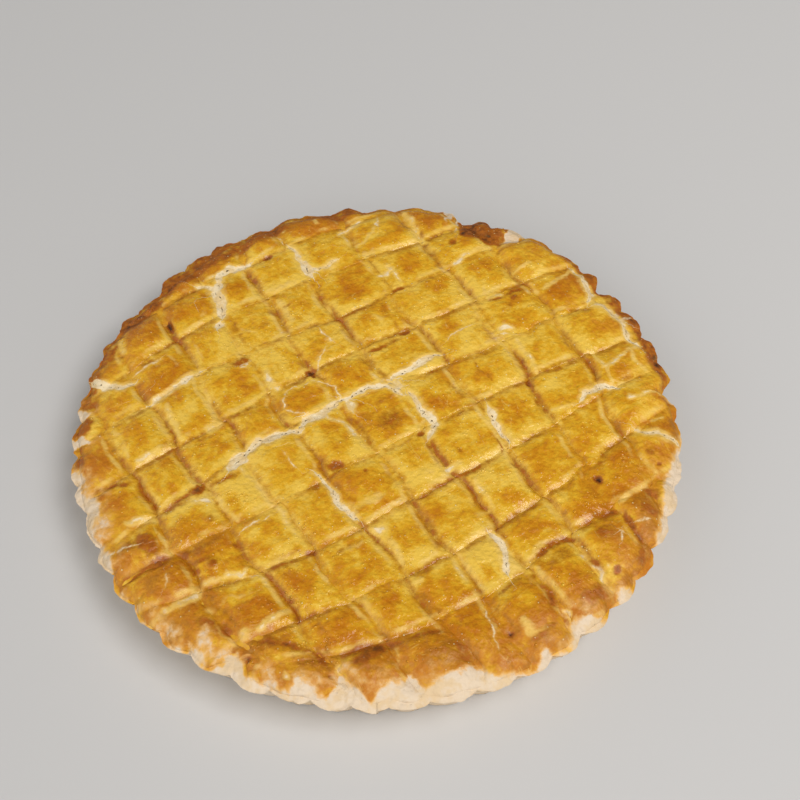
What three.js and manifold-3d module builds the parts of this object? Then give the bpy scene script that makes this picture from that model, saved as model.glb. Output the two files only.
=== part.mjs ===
// A 26 cm apple pie out of its tin: a filled pastry shell with a fluted side, and a closed
// lid of woven pastry strips. Millimetres, +Z up, origin under the middle of the base.
import * as THREE from 'three';
import { mergeVertices } from 'three/addons/utils/BufferGeometryUtils.js';
import Module from 'manifold-3d';

// Driving dimensions of the shell
const fluteCount = 50;
const flutePhase = THREE.MathUtils.degToRad(2.4); // first notch, from the front (-Y) towards +X
const fluteDepth = 2.3;
const baseRadius = 122; // at the notches between the flutes
const rimRadius = 129;
const rimLevel = 21.5; // where the side is widest
const rimTop = 25.2;
const rimRounding = 3.4; // how far in from its widest line the rim reaches its top
const rimWidth = 6.6;
const rimInnerDrop = 0.5; // the rim slopes down this much to the lid's edge
const seatLevel = 20; // top of the filling, which carries the lid
const stepsPerFlute = 3;

// Driving dimensions of the lid
const laidAngle = THREE.MathUtils.degToRad(24); // the "across" strips run this way from +X
const gap = 0.3; // between pieces that touch
const sideMargin = 0.008; // half of the gap beside a strip, as a share of its width
const meetLevel = 23.4; // where the upper and the lower strip meet, at the middle of a crossing
const climb = 1.6; // how far a strip rises or dips from there at its turns
const edgeThickness = 0.9;
const crownThickness = 3.4;
const crownRise = 1.4; // the lid's middle stands this much above its border
const turnShare = 0.2; // of a crossing's length, taken by each turn of the upper strip
const notchShare = 0.075; // of a strip's width, given up on each side where it turns
const cornerRounds = 12; // enough for a corner to settle well within a hundredth of a millimetre
const mergeTolerance = 1e-4;

// Hand-laid strips wander: each line holds one edge's place at five stations.
const stations = [-100, -50, 0, 50, 100];
const acrossEdges = [ // from the back to the front, at stations along the across strips
  [120, 130, 136, 138, 136],
  [92, 101.5, 108.3, 110, 107],
  [65.5, 80.5, 84.3, 85.3, 86],
  [45, 56, 57.5, 61.5, 67.5],
  [18.5, 28.5, 36, 39, 40.5],
  [-6, 8.5, 13.5, 12.5, 16.5],
  [-27, -22, -16.2, -10.7, -9],
  [-47, -50, -44.2, -37.7, -30.5],
  [-74.5, -76, -73.7, -64.7, -52],
  [-83, -96, -96.7, -85.7, -77.5],
  [-112, -122, -125, -115, -106],
];
const downEdges = [ // from left to right, at stations from the front to the back
  [-114, -126, -130, -132, -137],
  [-84, -96, -103, -109, -115.5],
  [-62.5, -72, -80.5, -87, -93.5],
  [-39.5, -50, -58, -62, -66],
  [-17.5, -27, -34.5, -39.5, -41],
  [3, -4, -10.5, -17, -20],
  [25, 18.5, 14, 6.5, 3],
  [49, 44, 41, 35, 32],
  [69.5, 67.5, 69, 66, 60],
  [87, 91, 96, 91.5, 82],
  [110, 124, 130, 122, 112],
];

const colours = {
  shell: new THREE.MeshStandardMaterial({ color: '#e2c79a', roughness: 0.85, metalness: 0 }),
  lid: new THREE.MeshStandardMaterial({ color: '#d39f36', roughness: 0.45, metalness: 0 }),
};

const wasm = await Module();
wasm.setup();

function toManifold(geometry) {
  const bare = geometry.clone();
  bare.deleteAttribute('normal');
  bare.deleteAttribute('uv');
  const merged = mergeVertices(bare, mergeTolerance);
  return new wasm.Manifold(new wasm.Mesh({
    numProp: 3,
    vertProperties: new Float32Array(merged.attributes.position.array),
    triVerts: new Uint32Array(merged.index.array),
  }));
}

function toGeometry(manifold) {
  const mesh = manifold.getMesh();
  const geometry = new THREE.BufferGeometry();
  geometry.setAttribute('position', new THREE.BufferAttribute(mesh.vertProperties, 3));
  geometry.setIndex(new THREE.BufferAttribute(mesh.triVerts, 1));
  geometry.computeVertexNormals();
  return geometry;
}

// ---- shell: a lathed profile whose outer side is then fluted ----

function fluteBulge(x, y) {
  const angle = Math.atan2(x, -y);
  return fluteDepth * Math.abs(Math.sin(fluteCount / 2 * (angle - flutePhase)));
}

// A corner of the rim's rounded outer edge: share 0 at its widest line, 1 at its top
function rimCorner(share) {
  const turn = share * Math.PI / 2;
  const radius = rimRadius - rimRounding * (1 - Math.cos(turn));
  return { radius, level: rimLevel + (rimTop - rimLevel) * Math.sin(turn), isFluted: true };
}

function shellGeometry() {
  const seatRadius = rimRadius - rimWidth;
  const profile = [
    { radius: 0, level: 0 },
    { radius: baseRadius, level: 0, isFluted: true },
    ...[0, 0.5, 1].map(rimCorner),
    { radius: seatRadius, level: rimTop - rimInnerDrop },
    { radius: seatRadius, level: seatLevel },
    { radius: 0, level: seatLevel },
  ];
  const outline = profile.map(({ radius, level }) => new THREE.Vector2(radius, level));
  const lathe = new THREE.LatheGeometry(outline, fluteCount * stepsPerFlute, flutePhase);
  lathe.rotateX(Math.PI / 2);
  const place = lathe.attributes.position;
  for (let i = 0; i < place.count; i += 1) {
    const { radius, isFluted } = profile[i % profile.length];
    if (isFluted) {
      const factor = 1 + fluteBulge(place.getX(i), place.getY(i)) / radius;
      place.setXY(i, place.getX(i) * factor, place.getY(i) * factor);
    }
  }
  return lathe;
}

// ---- lid: strips woven one over, one under ----

// An edge's place at any station: a smooth line through the five values, straight on past its ends
function along(values, station) {
  const step = stations[1] - stations[0];
  const last = stations.length - 1;
  if (station <= stations[0]) {
    return values[0] + (values[1] - values[0]) * (station - stations[0]) / step;
  }
  if (station >= stations[last]) {
    return values[last] + (values[last] - values[last - 1]) * (station - stations[last]) / step;
  }
  const curve = new THREE.SplineCurve(values.map((value, i) => new THREE.Vector2(stations[i], value)));
  return curve.getPoint((station - stations[0]) / (step * last)).y;
}

// The corner where an across edge and a down edge meet, found by following one to the other in turn
function corner(row, column) {
  let u = 0;
  let v = 0;
  for (let round = 0; round < cornerRounds; round += 1) {
    u = along(downEdges[column], v);
    v = along(acrossEdges[row], u);
  }
  return new THREE.Vector2(u, v);
}

const corners = acrossEdges.map((_, row) => downEdges.map((__, column) => corner(row, column)));

// A crossing's plan: s runs from its left to its right edge, t from its back to its front edge.
function planPoint(row, column, s, t) {
  const back = corners[row][column].clone().lerp(corners[row][column + 1], s);
  const front = corners[row + 1][column].clone().lerp(corners[row + 1][column + 1], s);
  return back.lerp(front, t);
}

const acrossOnTop = (row, column) => (row + column) % 2 === 0;

// 0 along the middle of a strip or a crossing, 1 at its edges
const fromMiddle = (share) => Math.abs(2 * share - 1);

// Where the two strips of a crossing meet: low where the upper one dives, high at its own edges
function meeting(row, column, s, t) {
  const side = fromMiddle(t) - fromMiddle(s);
  return meetLevel + climb * (acrossOnTop(row, column) ? side : -side);
}

// The lid's visible face: rounded over each strip, and higher in the middle of the pie
function crown(plan, sideways) {
  const rise = crownRise * (1 - plan.lengthSq() / (rimRadius * rimRadius));
  const ownEdge = meetLevel + climb + gap / 2 + edgeThickness;
  const middle = meetLevel + gap / 2 + crownThickness;
  return rise + THREE.MathUtils.lerp(middle, ownEdge, fromMiddle(sideways));
}

function stripPoint(strip, crossing, lengthways, sideways, isTop) {
  const [row, column] = strip.isAcross ? [strip.index, crossing] : [crossing, strip.index];
  const [s, t] = strip.isAcross ? [lengthways, sideways] : [sideways, lengthways];
  const plan = planPoint(row, column, s, t);
  const onTop = acrossOnTop(row, column) === strip.isAcross;
  let level;
  if (lengthways === 0 || lengthways === 1) { // between two crossings, so between two other strips
    const reach = climb * (1 - fromMiddle(sideways)) - gap / 2;
    level = meetLevel + (isTop ? reach : -reach);
  } else if (onTop) {
    level = isTop ? crown(plan, sideways) : meeting(row, column, s, t) + gap / 2;
  } else {
    level = isTop ? meeting(row, column, s, t) - gap / 2 : seatLevel + gap;
  }
  return new THREE.Vector3(plan.x, plan.y, level);
}

// The stops of a strip on its way: each is a crossing and a share of that crossing's length.
function stripStops(strip, crossings) {
  const stops = [];
  for (let crossing = 0; crossing < crossings; crossing += 1) {
    const onTop = acrossOnTop(strip.index, crossing) === strip.isAcross;
    const shares = onTop ? [0, turnShare, 0.5, 1 - turnShare] : [0, 0.5];
    stops.push(...shares.map((share) => ({ crossing, share })));
  }
  stops.push({ crossing: crossings - 1, share: 1 });
  return stops;
}

// One strip: a box with a row of corners at each stop, bent to its place over and under the others
function stripGeometry(strip) {
  const crossings = (strip.isAcross ? downEdges.length : acrossEdges.length) - 1;
  const stops = stripStops(strip, crossings);
  const steps = stops.length - 1;
  const box = new THREE.BoxGeometry(steps, 2, 1, steps, 2, 1);
  const place = box.attributes.position;
  for (let i = 0; i < place.count; i += 1) {
    const { crossing, share } = stops[Math.round(place.getX(i) + steps / 2)];
    const margin = share === 0 || share === 1 ? notchShare : sideMargin;
    const lane = strip.isAcross ? -place.getY(i) : place.getY(i);
    const sideways = 0.5 + lane * (0.5 - margin);
    const point = stripPoint(strip, crossing, share, sideways, place.getZ(i) > 0);
    place.setXYZ(i, point.x, point.y, point.z);
  }
  return box;
}

// A round block that trims the strips to fit inside the rim
function lidBlock() {
  const radius = rimRadius - rimWidth - gap;
  const block = new THREE.CylinderGeometry(radius, radius, 2 * rimTop, fluteCount * stepsPerFlute);
  return toManifold(block.rotateX(Math.PI / 2).translate(0, 0, rimTop));
}

const lidTrim = lidBlock();

function stripMesh(name, strip) {
  const geometry = stripGeometry(strip).rotateZ(laidAngle);
  const mesh = new THREE.Mesh(toGeometry(toManifold(geometry).intersect(lidTrim)), colours.lid);
  mesh.name = name;
  return mesh;
}

const pie = new THREE.Group();
const shell = new THREE.Mesh(toGeometry(toManifold(shellGeometry())), colours.shell);
shell.name = 'shell';
pie.add(shell);
for (let row = 0; row < acrossEdges.length - 1; row += 1) {
  pie.add(stripMesh(`strip_across_${row + 1}`, { index: row, isAcross: true }));
}
for (let column = 0; column < downEdges.length - 1; column += 1) {
  pie.add(stripMesh(`strip_down_${column + 1}`, { index: column, isAcross: false }));
}

export default pie;
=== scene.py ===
import math

import bpy
import numpy as np
from mathutils import Matrix, Vector


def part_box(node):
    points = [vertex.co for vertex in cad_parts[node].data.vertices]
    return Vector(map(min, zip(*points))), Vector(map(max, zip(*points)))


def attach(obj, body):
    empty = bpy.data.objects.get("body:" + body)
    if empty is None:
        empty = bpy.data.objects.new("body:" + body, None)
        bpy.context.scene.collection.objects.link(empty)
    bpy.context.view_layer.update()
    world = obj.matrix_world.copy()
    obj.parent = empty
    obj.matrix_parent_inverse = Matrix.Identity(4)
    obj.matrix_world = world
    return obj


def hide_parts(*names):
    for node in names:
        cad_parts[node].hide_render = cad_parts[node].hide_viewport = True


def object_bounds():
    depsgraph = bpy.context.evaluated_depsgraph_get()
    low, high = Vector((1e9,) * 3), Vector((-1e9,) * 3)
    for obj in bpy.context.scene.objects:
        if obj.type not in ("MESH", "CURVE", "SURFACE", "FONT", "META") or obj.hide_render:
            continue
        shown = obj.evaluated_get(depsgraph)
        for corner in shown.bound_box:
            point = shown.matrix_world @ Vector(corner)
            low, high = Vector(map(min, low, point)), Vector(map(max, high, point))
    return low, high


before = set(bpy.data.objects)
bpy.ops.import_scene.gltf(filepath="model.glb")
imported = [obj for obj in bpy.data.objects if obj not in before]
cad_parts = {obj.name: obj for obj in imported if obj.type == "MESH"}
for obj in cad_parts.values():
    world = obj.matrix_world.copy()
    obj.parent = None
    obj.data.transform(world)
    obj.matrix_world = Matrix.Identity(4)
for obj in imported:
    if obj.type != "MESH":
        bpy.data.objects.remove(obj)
cadBounds = [list(corner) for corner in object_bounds()]
shellLow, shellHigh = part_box("shell")
mm = 0.001

# The pie as the solids have it, in millimetres and degrees
pie = {
    "tipRadius": shellHigh.x / mm,  # over the flutes
    "lidTop": cadBounds[1][2] / mm,
    "widestLevel": 21.5,
    "baseLean": 8.6,  # the base is this much smaller in radius than the rim
    "flutes": 50,
    "firstNotch": 2.4,  # from the front
    "layAngle": 24.0,  # the across strips run this way from +X
    "thickness": 2.7,  # of a strip
}

# The strips' edges, each at five stations across the pie, as they were laid by hand
weave = {
    "stations": [-100, -50, 0, 50, 100],
    "across": [
        [120, 130, 136, 138, 136],
        [92, 101.5, 108.3, 110, 107],
        [65.5, 80.5, 84.3, 85.3, 86],
        [45, 56, 57.5, 61.5, 67.5],
        [18.5, 28.5, 36, 39, 40.5],
        [-6, 8.5, 13.5, 12.5, 16.5],
        [-27, -22, -16.2, -10.7, -9],
        [-47, -50, -44.2, -37.7, -30.5],
        [-74.5, -76, -73.7, -64.7, -52],
        [-83, -96, -96.7, -85.7, -77.5],
        [-112, -122, -125, -115, -106],
    ],
    "down": [
        [-114, -126, -130, -132, -137],
        [-84, -96, -103, -109, -115.5],
        [-62.5, -72, -80.5, -87, -93.5],
        [-39.5, -50, -58, -62, -66],
        [-17.5, -27, -34.5, -39.5, -41],
        [3, -4, -10.5, -17, -20],
        [25, 18.5, 14, 6.5, 3],
        [49, 44, 41, 35, 32],
        [69.5, 67.5, 69, 66, 60],
        [87, 91, 96, 91.5, 82],
        [110, 124, 130, 122, 112],
    ],
    "squeeze": 1.1,  # a down strip is narrower by this on each side where it lies on top
    "puff": 0.4,  # an across strip bulges by this where it lies on top
    "wander": 0.8,  # small waves along every cut edge
}
stripCount = len(weave["across"]) - 1


def smooth(x):
    x = np.clip(x, 0, 1)
    return x * x * (3 - 2 * x)


def mix(a, b, share):
    return a + (b - a) * share


noiseCells = 64  # a noise field repeats after this many cells


def softNoise(x, y, size, seed):  # a smooth random field from -1 to 1
    table = np.random.default_rng(seed).uniform(-1, 1, (noiseCells, noiseCells))
    x = np.asarray(x, float) / size + 0.37 * seed
    y = np.asarray(y, float) / size
    ix, iy = np.floor(x).astype(int), np.floor(y).astype(int)
    fx, fy = x - ix, y - iy
    fx, fy = [f ** 3 * (f * (6 * f - 15) + 10) for f in (fx, fy)]
    left, right = ix % noiseCells, (ix + 1) % noiseCells
    low, high = iy % noiseCells, (iy + 1) % noiseCells
    below, above = [mix(table[left, row], table[right, row], fx) for row in (low, high)]
    return mix(below, above, fy)


def roughNoise(x, y, size, seed, octaves=3):
    total = 0
    for octave in range(octaves):
        total = total + softNoise(x, y, size / 2 ** octave, seed + 11 * octave) / 1.8 ** octave
    return total / 1.6


def polarOf(x, y):  # degrees from the front (-Y) towards +X, and the radius
    return np.degrees(np.arctan2(x, -y)), np.hypot(x, y)


def fromPolar(angle, radius):
    return radius * np.sin(np.radians(angle)), -radius * np.cos(np.radians(angle))


def layOf(x, y):
    turn = math.radians(pie["layAngle"])
    return x * math.cos(turn) + y * math.sin(turn), y * math.cos(turn) - x * math.sin(turn)


def pieOf(u, v):
    turn = math.radians(pie["layAngle"])
    return u * math.cos(turn) - v * math.sin(turn), u * math.sin(turn) + v * math.cos(turn)


def aroundRim(table, angle):  # a value that is given at some angles, read at any angle
    angles, values = zip(*sorted((a % 360, value) for a, value in table))
    return np.interp(np.asarray(angle) % 360, angles, values, period=360)


# Places on the lid are in the lay frame: along the across strips, then across them towards the back.

threadWidth = 1.5  # pale lines thinner than this are hair cracks
marks = {
    # cracks: points, width, depth
    "cracks": [
        ([(-67, 0.5), (-62, 4), (-58, 5)], 5.0, 0.9),
        ([(-58, 5), (-54, 8), (-50, 9.5), (-45, 8.5), (-38, 8), (-32, 7)], 2.6, 0.9),
        ([(-32, 9), (-26, 11), (-20, 11), (-16, 13), (-12, 14.5)], 3.4, 1.0),
        ([(-12, 14.5), (-6, 13.5), (0, 14.5), (4, 15.5), (8, 14), (11, 11)], 2.0, 0.9),
        ([(11, 11), (13.5, 7.5), (16, 5)], 1.6, 0.5), ([(-8.5, 13), (-9, 9), (-8, 6)], 2.4, 0.4),
        ([(14, 15), (20, 16.5), (28, 17.5), (33, 19.8), (39, 18.5)], 2.2, 0.8),
        ([(13, 12), (16, 10.5)], 3.0, 0.3),
        ([(18, 5), (18.5, 0), (19, -5), (20.3, -10), (20.5, -14), (18, -18), (15.5, -20)], 2.2, 0.8),
        ([(-18, 107), (-24, 105), (-28, 107), (-33, 106), (-36, 101)], 2.6, 0.9),
        ([(-36, 101), (-38, 96), (-39, 88), (-41, 82)], 3.8, 1.3), ([(-43.5, 78), (-44.5, 75)], 3.2, 0.8),
        ([(-39, 97), (-45, 104)], 1.8, 0.5), ([(3, 108), (5, 101), (4.5, 96)], 1.8, 0.4),
        ([(4.8, 97), (5.3, 91), (5.3, 87)], 4.6, 0.9), ([(8, 89), (13, 88), (19, 90)], 1.6, 0.4),
        ([(27, 105), (33, 107), (41, 110)], 1.4, 0.3),
        ([(83, -29.5), (88, -28), (92, -26.6), (95, -26), (98, -29), (101.5, -31)], 2.4, 0.8),
        ([(17.5, -72), (19, -76), (19.5, -80), (17, -85), (16, -91)], 2.6, 1.0),
        ([(97.5, -53), (100, -57), (105, -59.5), (109, -63), (111, -66.5)], 1.8, 0.5),
        ([(-106, 72), (-103, 68), (-98, 64), (-94, 61.5), (-89, 62)], 2.8, 0.9),
        ([(-36, -15), (-34, -20), (-32, -27), (-33, -33), (-30, -38), (-28.5, -43)], 2.2, 0.6),
        ([(45.5, -15), (44.5, -25), (45, -36)], 1.8, 0.6),
        ([(-87, 47.5), (-75, 51), (-65, 54), (-60, 55)], 1.8, 0.3),
    ],
    # pale lines where the dough shows through: points, width, strength
    "paleLines": [
        ([(-44, -2), (-42, -8), (-40, -12)], 0.9, 0.8),
        ([(-31, 28), (-34, 25), (-34.3, 20), (-31, 16), (-28, 14.5)], 0.8, 0.6),
        ([(-31, 28), (-24, 29), (-18, 28.5), (-12, 26)], 0.8, 0.45),
        ([(-12, 26), (-9.3, 22), (-9.5, 16)], 1.0, 0.7),
        ([(-18, 12), (-19, 7), (-15, 4), (-13, -2), (-11.5, -11)], 1.8, 0.8),
        ([(-34.5, 43), (-34.8, 37), (-34, 31)], 3.2, 0.95), ([(-13, 34), (-10.5, 40), (-5, 44)], 0.8, 0.6),
        ([(-44.5, 50.2), (-42, 49.4), (-40, 50.4), (-41.8, 51.3), (-44.2, 51)], 0.7, 1.0),
        ([(-4, 53), (-3, 49), (-1.5, 45)], 0.9, 0.9), ([(-22.5, 101), (-23, 93), (-22, 85)], 2.4, 0.65),
        ([(-14, 78), (-14.3, 65)], 3.0, 0.75), ([(-17, 86), (-5, 87)], 2.6, 0.7),
        ([(-36, 71), (-31, 65)], 1.5, 0.5), ([(0, 119), (0.3, 112)], 1.4, 0.8),
        ([(4.2, 120), (6, 127)], 1.6, 0.8), ([(19.6, 123), (20.5, 116)], 1.8, 0.85),
        ([(32, 94), (36, 95), (40, 99), (45, 102)], 1.6, 0.6), ([(33, 87), (41, 87)], 2.6, 0.9),
        ([(40, 76), (41.2, 65)], 2.4, 0.85), ([(34, 72), (39, 73)], 1.6, 0.8),
        ([(48.5, 108), (45.5, 100)], 1.4, 0.7), ([(63, 108), (62.3, 95), (61.3, 84)], 3.0, 0.75),
        ([(85, 98), (84, 91), (80, 84)], 1.4, 0.9), ([(69, 65), (75, 67), (83, 68), (88, 67)], 3.0, 0.9),
        ([(95, 66), (101, 68.5), (108, 73)], 4.6, 1.0), ([(92, 48), (101, 49)], 2.0, 0.7),
        ([(96.5, 38), (96, 33)], 3.0, 0.6), ([(100, 33), (105, 34), (112, 37), (119, 39.5)], 1.6, 0.95),
        ([(45, 24), (50, 26), (54, 27.5), (60, 27)], 1.0, 0.7), ([(73, 38), (80, 38.3)], 2.0, 1.0),
        ([(74, 41), (75, 45)], 2.0, 0.7), ([(70.5, 19.5), (74, 18)], 3.2, 1.0),
        ([(69, 17), (74, 14.5)], 1.2, 0.7), ([(75, 11), (74, 5), (74, -1), (73, -8)], 1.9, 0.9),
        ([(71, -29.3), (80, -30)], 1.6, 0.6), ([(101, -9), (102, -18), (101, -27)], 1.8, 0.8),
        ([(101, -18), (106, -18), (112, -15.5), (118, -14), (123, -12.5)], 1.9, 0.95),
        ([(117.5, -16), (116, -22), (118, -27)], 1.7, 0.85),
        ([(103, -38), (108, -38.5), (113, -39.3), (119, -41)], 1.8, 0.85),
        ([(104, -29.5), (113, -30.5)], 1.6, 0.6), ([(15, -38), (21, -37)], 2.8, 0.95),
        ([(-28, -38), (-14, -38)], 2.6, 0.5), ([(0, -36), (12, -35.5)], 2.2, 0.45),
        ([(36, -39.5), (43, -38.5)], 2.4, 0.8), ([(45, -37.5), (46.5, -33)], 2.6, 0.9),
        ([(23.5, -46), (24, -55), (24, -62)], 2.0, 0.7), ([(17, -62), (22, -62)], 2.2, 0.6),
        ([(-23, -52), (-20, -52.5)], 3.2, 0.8), ([(-21, -55), (-20, -64), (-20, -73)], 2.6, 0.55),
        ([(-7, -56)], 2.2, 0.6), ([(-42, -55), (-30, -54)], 2.2, 0.55),
        ([(2, -75), (4, -85), (5, -93)], 2.0, 0.5), ([(-40, -78), (-40, -92)], 3.4, 0.5),
        ([(-20, -79.5), (-16, -79)], 2.2, 0.7), ([(27, -88), (34, -86), (41, -86)], 2.4, 0.6),
        ([(27, -94), (29, -105), (30, -114)], 2.2, 0.6),
        ([(1, -102), (-0.5, -108), (-2, -114), (-2.5, -119)], 1.0, 0.85),
        ([(11, -112), (12, -118)], 4.0, 0.7), ([(47.5, -98), (49, -108), (50, -114)], 2.6, 0.8),
        ([(63, -98), (66, -94)], 1.4, 0.6), ([(47, -71), (49, -80)], 2.6, 0.5),
        ([(72, -81), (84, -79.5)], 2.4, 0.7), ([(74, -92), (80, -94)], 1.2, 0.6),
        ([(92, -66), (93, -76)], 2.2, 0.5), ([(107, -51.5), (112, -51.5)], 1.6, 0.7),
        ([(-104.5, 41), (-103.5, 26)], 2.2, 0.5), ([(-101, 21.5), (-95, 23), (-89.5, 24)], 2.0, 0.85),
        ([(-80.5, 44), (-80, 30), (-79.5, 25)], 2.2, 0.75), ([(-62.5, 46), (-63, 28)], 2.2, 0.6),
        ([(-67, 24), (-63.5, 26)], 3.6, 0.9), ([(-57.5, 29.5), (-52.5, 29.5)], 2.0, 0.8),
        ([(-85.5, -7.5), (-80.5, -10)], 3.0, 1.0),
        ([(-78, -6), (-76, -12), (-74, -18), (-72.5, -23)], 2.2, 0.6),
        ([(-62.5, -1), (-60.5, -7), (-58.5, -15), (-57.8, -22)], 2.4, 0.75),
        ([(-113, -5), (-108, -6), (-102.5, -8.5)], 2.6, 0.9),
        ([(-104.5, -12), (-103.5, -18), (-103, -22)], 1.6, 0.7), ([(-104, -24), (-102.5, -26)], 3.0, 0.7),
        ([(-125, -15), (-118, -16), (-113.5, -17)], 1.2, 0.9),
        ([(-106, -34), (-106.5, -37), (-110, -40.5)], 1.2, 0.7),
        ([(-94, -45), (-86, -44), (-80, -47), (-76, -45)], 1.8, 0.9), ([(-80, -47), (-74, -51)], 1.4, 0.6),
        ([(-73, -30), (-68, -28), (-60, -27.5)], 1.4, 0.6), ([(-54.5, -26), (-53.5, -28)], 2.2, 0.8),
        ([(-89, -72), (-80, -72)], 3.0, 0.65), ([(-90, -55), (-80, -56)], 2.0, 0.5),
        ([(-96, -56)], 4.0, 0.5), ([(-70, 69), (-69, 63)], 2.0, 0.5), ([(-59, 69), (-58, 62)], 2.0, 0.5),
        ([(-88, 66), (-80, 67.5), (-74, 69.5)], 1.2, 0.6), ([(-88.5, 86), (-88, 80)], 3.4, 0.7),
        ([(-50, 86), (-46, 89)], 2.6, 0.5), ([(22, 51), (24, 48)], 3.0, 0.8),
        ([(1, 82), (4.5, 62)], 1.6, 0.4),
    ],
    # brown grooves, partly browned glaze and partly painted shade in the hollow: points, width, strength
    "grooves": [
        ([(-31, 30), (-22, 31.5), (-17, 34)], 2.6, 0.75), ([(-13, 35.3), (0, 35), (8, 34)], 2.6, 0.4),
        ([(9, 34), (15, 33.5), (22, 33.5), (29, 35.5)], 2.6, 0.75),
        ([(5, 34), (8, 27), (10.5, 20), (12, 15)], 2.8, 0.6), ([(-36.5, 27), (-35, 14)], 4.0, 0.35),
        ([(-34, 4), (-32, -4), (-29.5, -12), (-28, -17)], 3.0, 0.6),
        ([(-11.5, 9), (-9.5, 0), (-8, -8), (-8, -16)], 3.0, 0.55),
        ([(-27, -17.7), (-15, -18.2), (-8, -17.7), (5, -17), (13, -16.5)], 2.4, 0.42),
        ([(13.5, -20), (13.5, -34)], 2.6, 0.55), ([(-29.5, -22), (-28, -28), (-26.5, -35)], 2.6, 0.6),
        ([(-7.5, -22), (-7.5, -36)], 2.6, 0.35),
        ([(22, -17), (28, -15), (34, -14), (43, -13.5)], 2.6, 0.65),
        ([(35, 6), (37, -2), (38.5, -11)], 3.0, 0.5), ([(28.5, 46), (29, 39)], 2.4, 0.5),
        ([(-18.7, 46), (-17, 37)], 3.0, 0.6), ([(40.5, -30), (41, -40)], 0.9, 0.7),
        ([(51, 9), (50, 3)], 0.8, 0.5), ([(53, 1), (54, -5)], 0.8, 0.45),
        ([(-123, 15.5), (-117, 14.7), (-106, 13)], 2.2, 0.9),
        ([(-108.5, 42), (-107.5, 30), (-105.5, 19)], 2.6, 0.6),
        ([(-104.5, 12), (-102, 5), (-101, 0)], 2.2, 0.45), ([(-99, -7), (-92, -6.5), (-86, -5)], 2.6, 0.6),
        ([(-79, -2.5), (-70, -3), (-65, -2.5)], 2.6, 0.65), ([(-57.5, -11), (-56, -23)], 2.4, 0.4),
        ([(-75, 20), (-69, 21), (-66, 21.5)], 1.8, 0.5),
        ([(-127, -29), (-117, -28.7), (-108, -28.2), (-103, -27.6)], 2.4, 1.1),
        ([(-103, -28), (-90, -28.5), (-80, -27.5)], 3.2, 0.65),
        ([(-85, 43), (-84, 30), (-83, 22)], 3.0, 0.4), ([(-105, 43), (-96, 44), (-88, 46)], 2.4, 0.5),
        ([(63, 35), (64, 20), (65, 13)], 4.0, 0.35), ([(68.5, 9), (69.5, -8)], 3.6, 0.42),
        ([(93.5, 9), (94, 0), (93.3, -7)], 3.0, 0.5), ([(100, 15), (107, 15.8), (114, 14)], 2.8, 0.55),
        ([(69, -10), (78, -10), (88, -10.7), (94, -10.5)], 2.6, 0.65),
        ([(45, 11), (52, 11), (58, 11), (67, 12.5)], 2.8, 0.6), ([(66, -18), (66, -27)], 4.0, 0.45),
        ([(45, -39.5), (55, -38.5), (68, -37)], 3.0, 0.5), ([(96, 30), (96.5, 18)], 3.0, 0.4),
        ([(97, -12), (96.5, -24)], 3.0, 0.4), ([(-65, 98), (-64, 76), (-62, 62)], 2.6, 0.5),
        ([(-88, 67), (-80, 69), (-73, 71)], 2.6, 0.65), ([(-91, 85), (-89.5, 75), (-88.5, 64)], 2.4, 0.5),
        ([(-100, 81), (-92, 78)], 2.2, 0.5), ([(-20.5, 101), (-20, 86)], 2.8, 0.55),
        ([(-19.5, 82), (-18, 61)], 3.0, 0.6), ([(5, 83), (6, 61)], 3.0, 0.5),
        ([(-38.5, 80), (-37, 60)], 3.4, 0.4), ([(27, 56), (28, 47)], 2.6, 0.5),
        ([(6, 55), (7, 38)], 3.0, 0.4), ([(58, 110), (58.5, 94)], 2.8, 0.5),
        ([(61, 79), (62.5, 64)], 3.6, 0.5), ([(91, 62), (92.5, 49)], 2.8, 0.4),
        ([(89, 61), (94, 64), (99, 64.5)], 2.2, 0.8), ([(-95, -47), (-92, -58), (-89.5, -68)], 3.6, 0.75),
        ([(-71, -50), (-68, -60), (-65, -70)], 3.0, 0.6), ([(-21, -76), (-10, -76.7), (-4, -75)], 2.2, 0.6),
        ([(-19, -82), (-18, -90), (-15, -96)], 3.2, 0.5), ([(-4, -47), (-3, -60), (-2.5, -73)], 3.6, 0.6),
        ([(-46, -54.5), (-35, -53), (-25, -50.5)], 2.6, 0.5),
        ([(17, -70.5), (25, -69.7), (31, -69), (38, -68), (44, -69)], 2.4, 0.7),
        ([(42.7, -44), (42.7, -61)], 3.0, 0.5), ([(-62, -72), (-60, -85), (-61.5, -95)], 2.8, 0.45),
        ([(68, -62), (72, -61.5), (77, -60.3)], 2.2, 0.65), ([(80, -57), (91, -54.5)], 2.4, 0.55),
        ([(66, -59), (66.5, -64)], 2.0, 0.5), ([(89, -60), (88.5, -76)], 2.6, 0.45),
        ([(45, -59.5), (56, -59), (66, -58.5)], 2.6, 0.4), ([(-67, -46), (-55, -47)], 2.6, 0.5),
        ([(-65, -76), (-55, -76.5), (-43, -76)], 2.4, 0.5), ([(72, 37.3), (80, 36.6)], 1.2, 0.7),
        ([(82, 37.5), (92, 37)], 3.0, 0.75),
    ],
    # browned and dark places: place, half-sizes, turn, strength, height
    "spots": [
        ((-16.5, 34), (2.6, 2.0), 0, 1.35, -0.7), ((-16.5, 31.5), (0.9, 1.0), 0, 1.4, -0.3),
        ((30.5, 36.5), (3.0, 1.3), 0, 0.95, -0.5), ((-26, -16), (4.0, 2.4), -20, 0.95, -0.6),
        ((13, -16.3), (2.0, 1.4), 0, 0.9, -0.6), ((-16, -24), (1.3, 1.2), 0, 0.8, -0.2),
        ((24, -31.5), (1.3, 1.2), 0, 0.5, 0.0), ((4.5, -4.5), (6.0, 6.0), -45, 0.62, 0.1),
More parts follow.
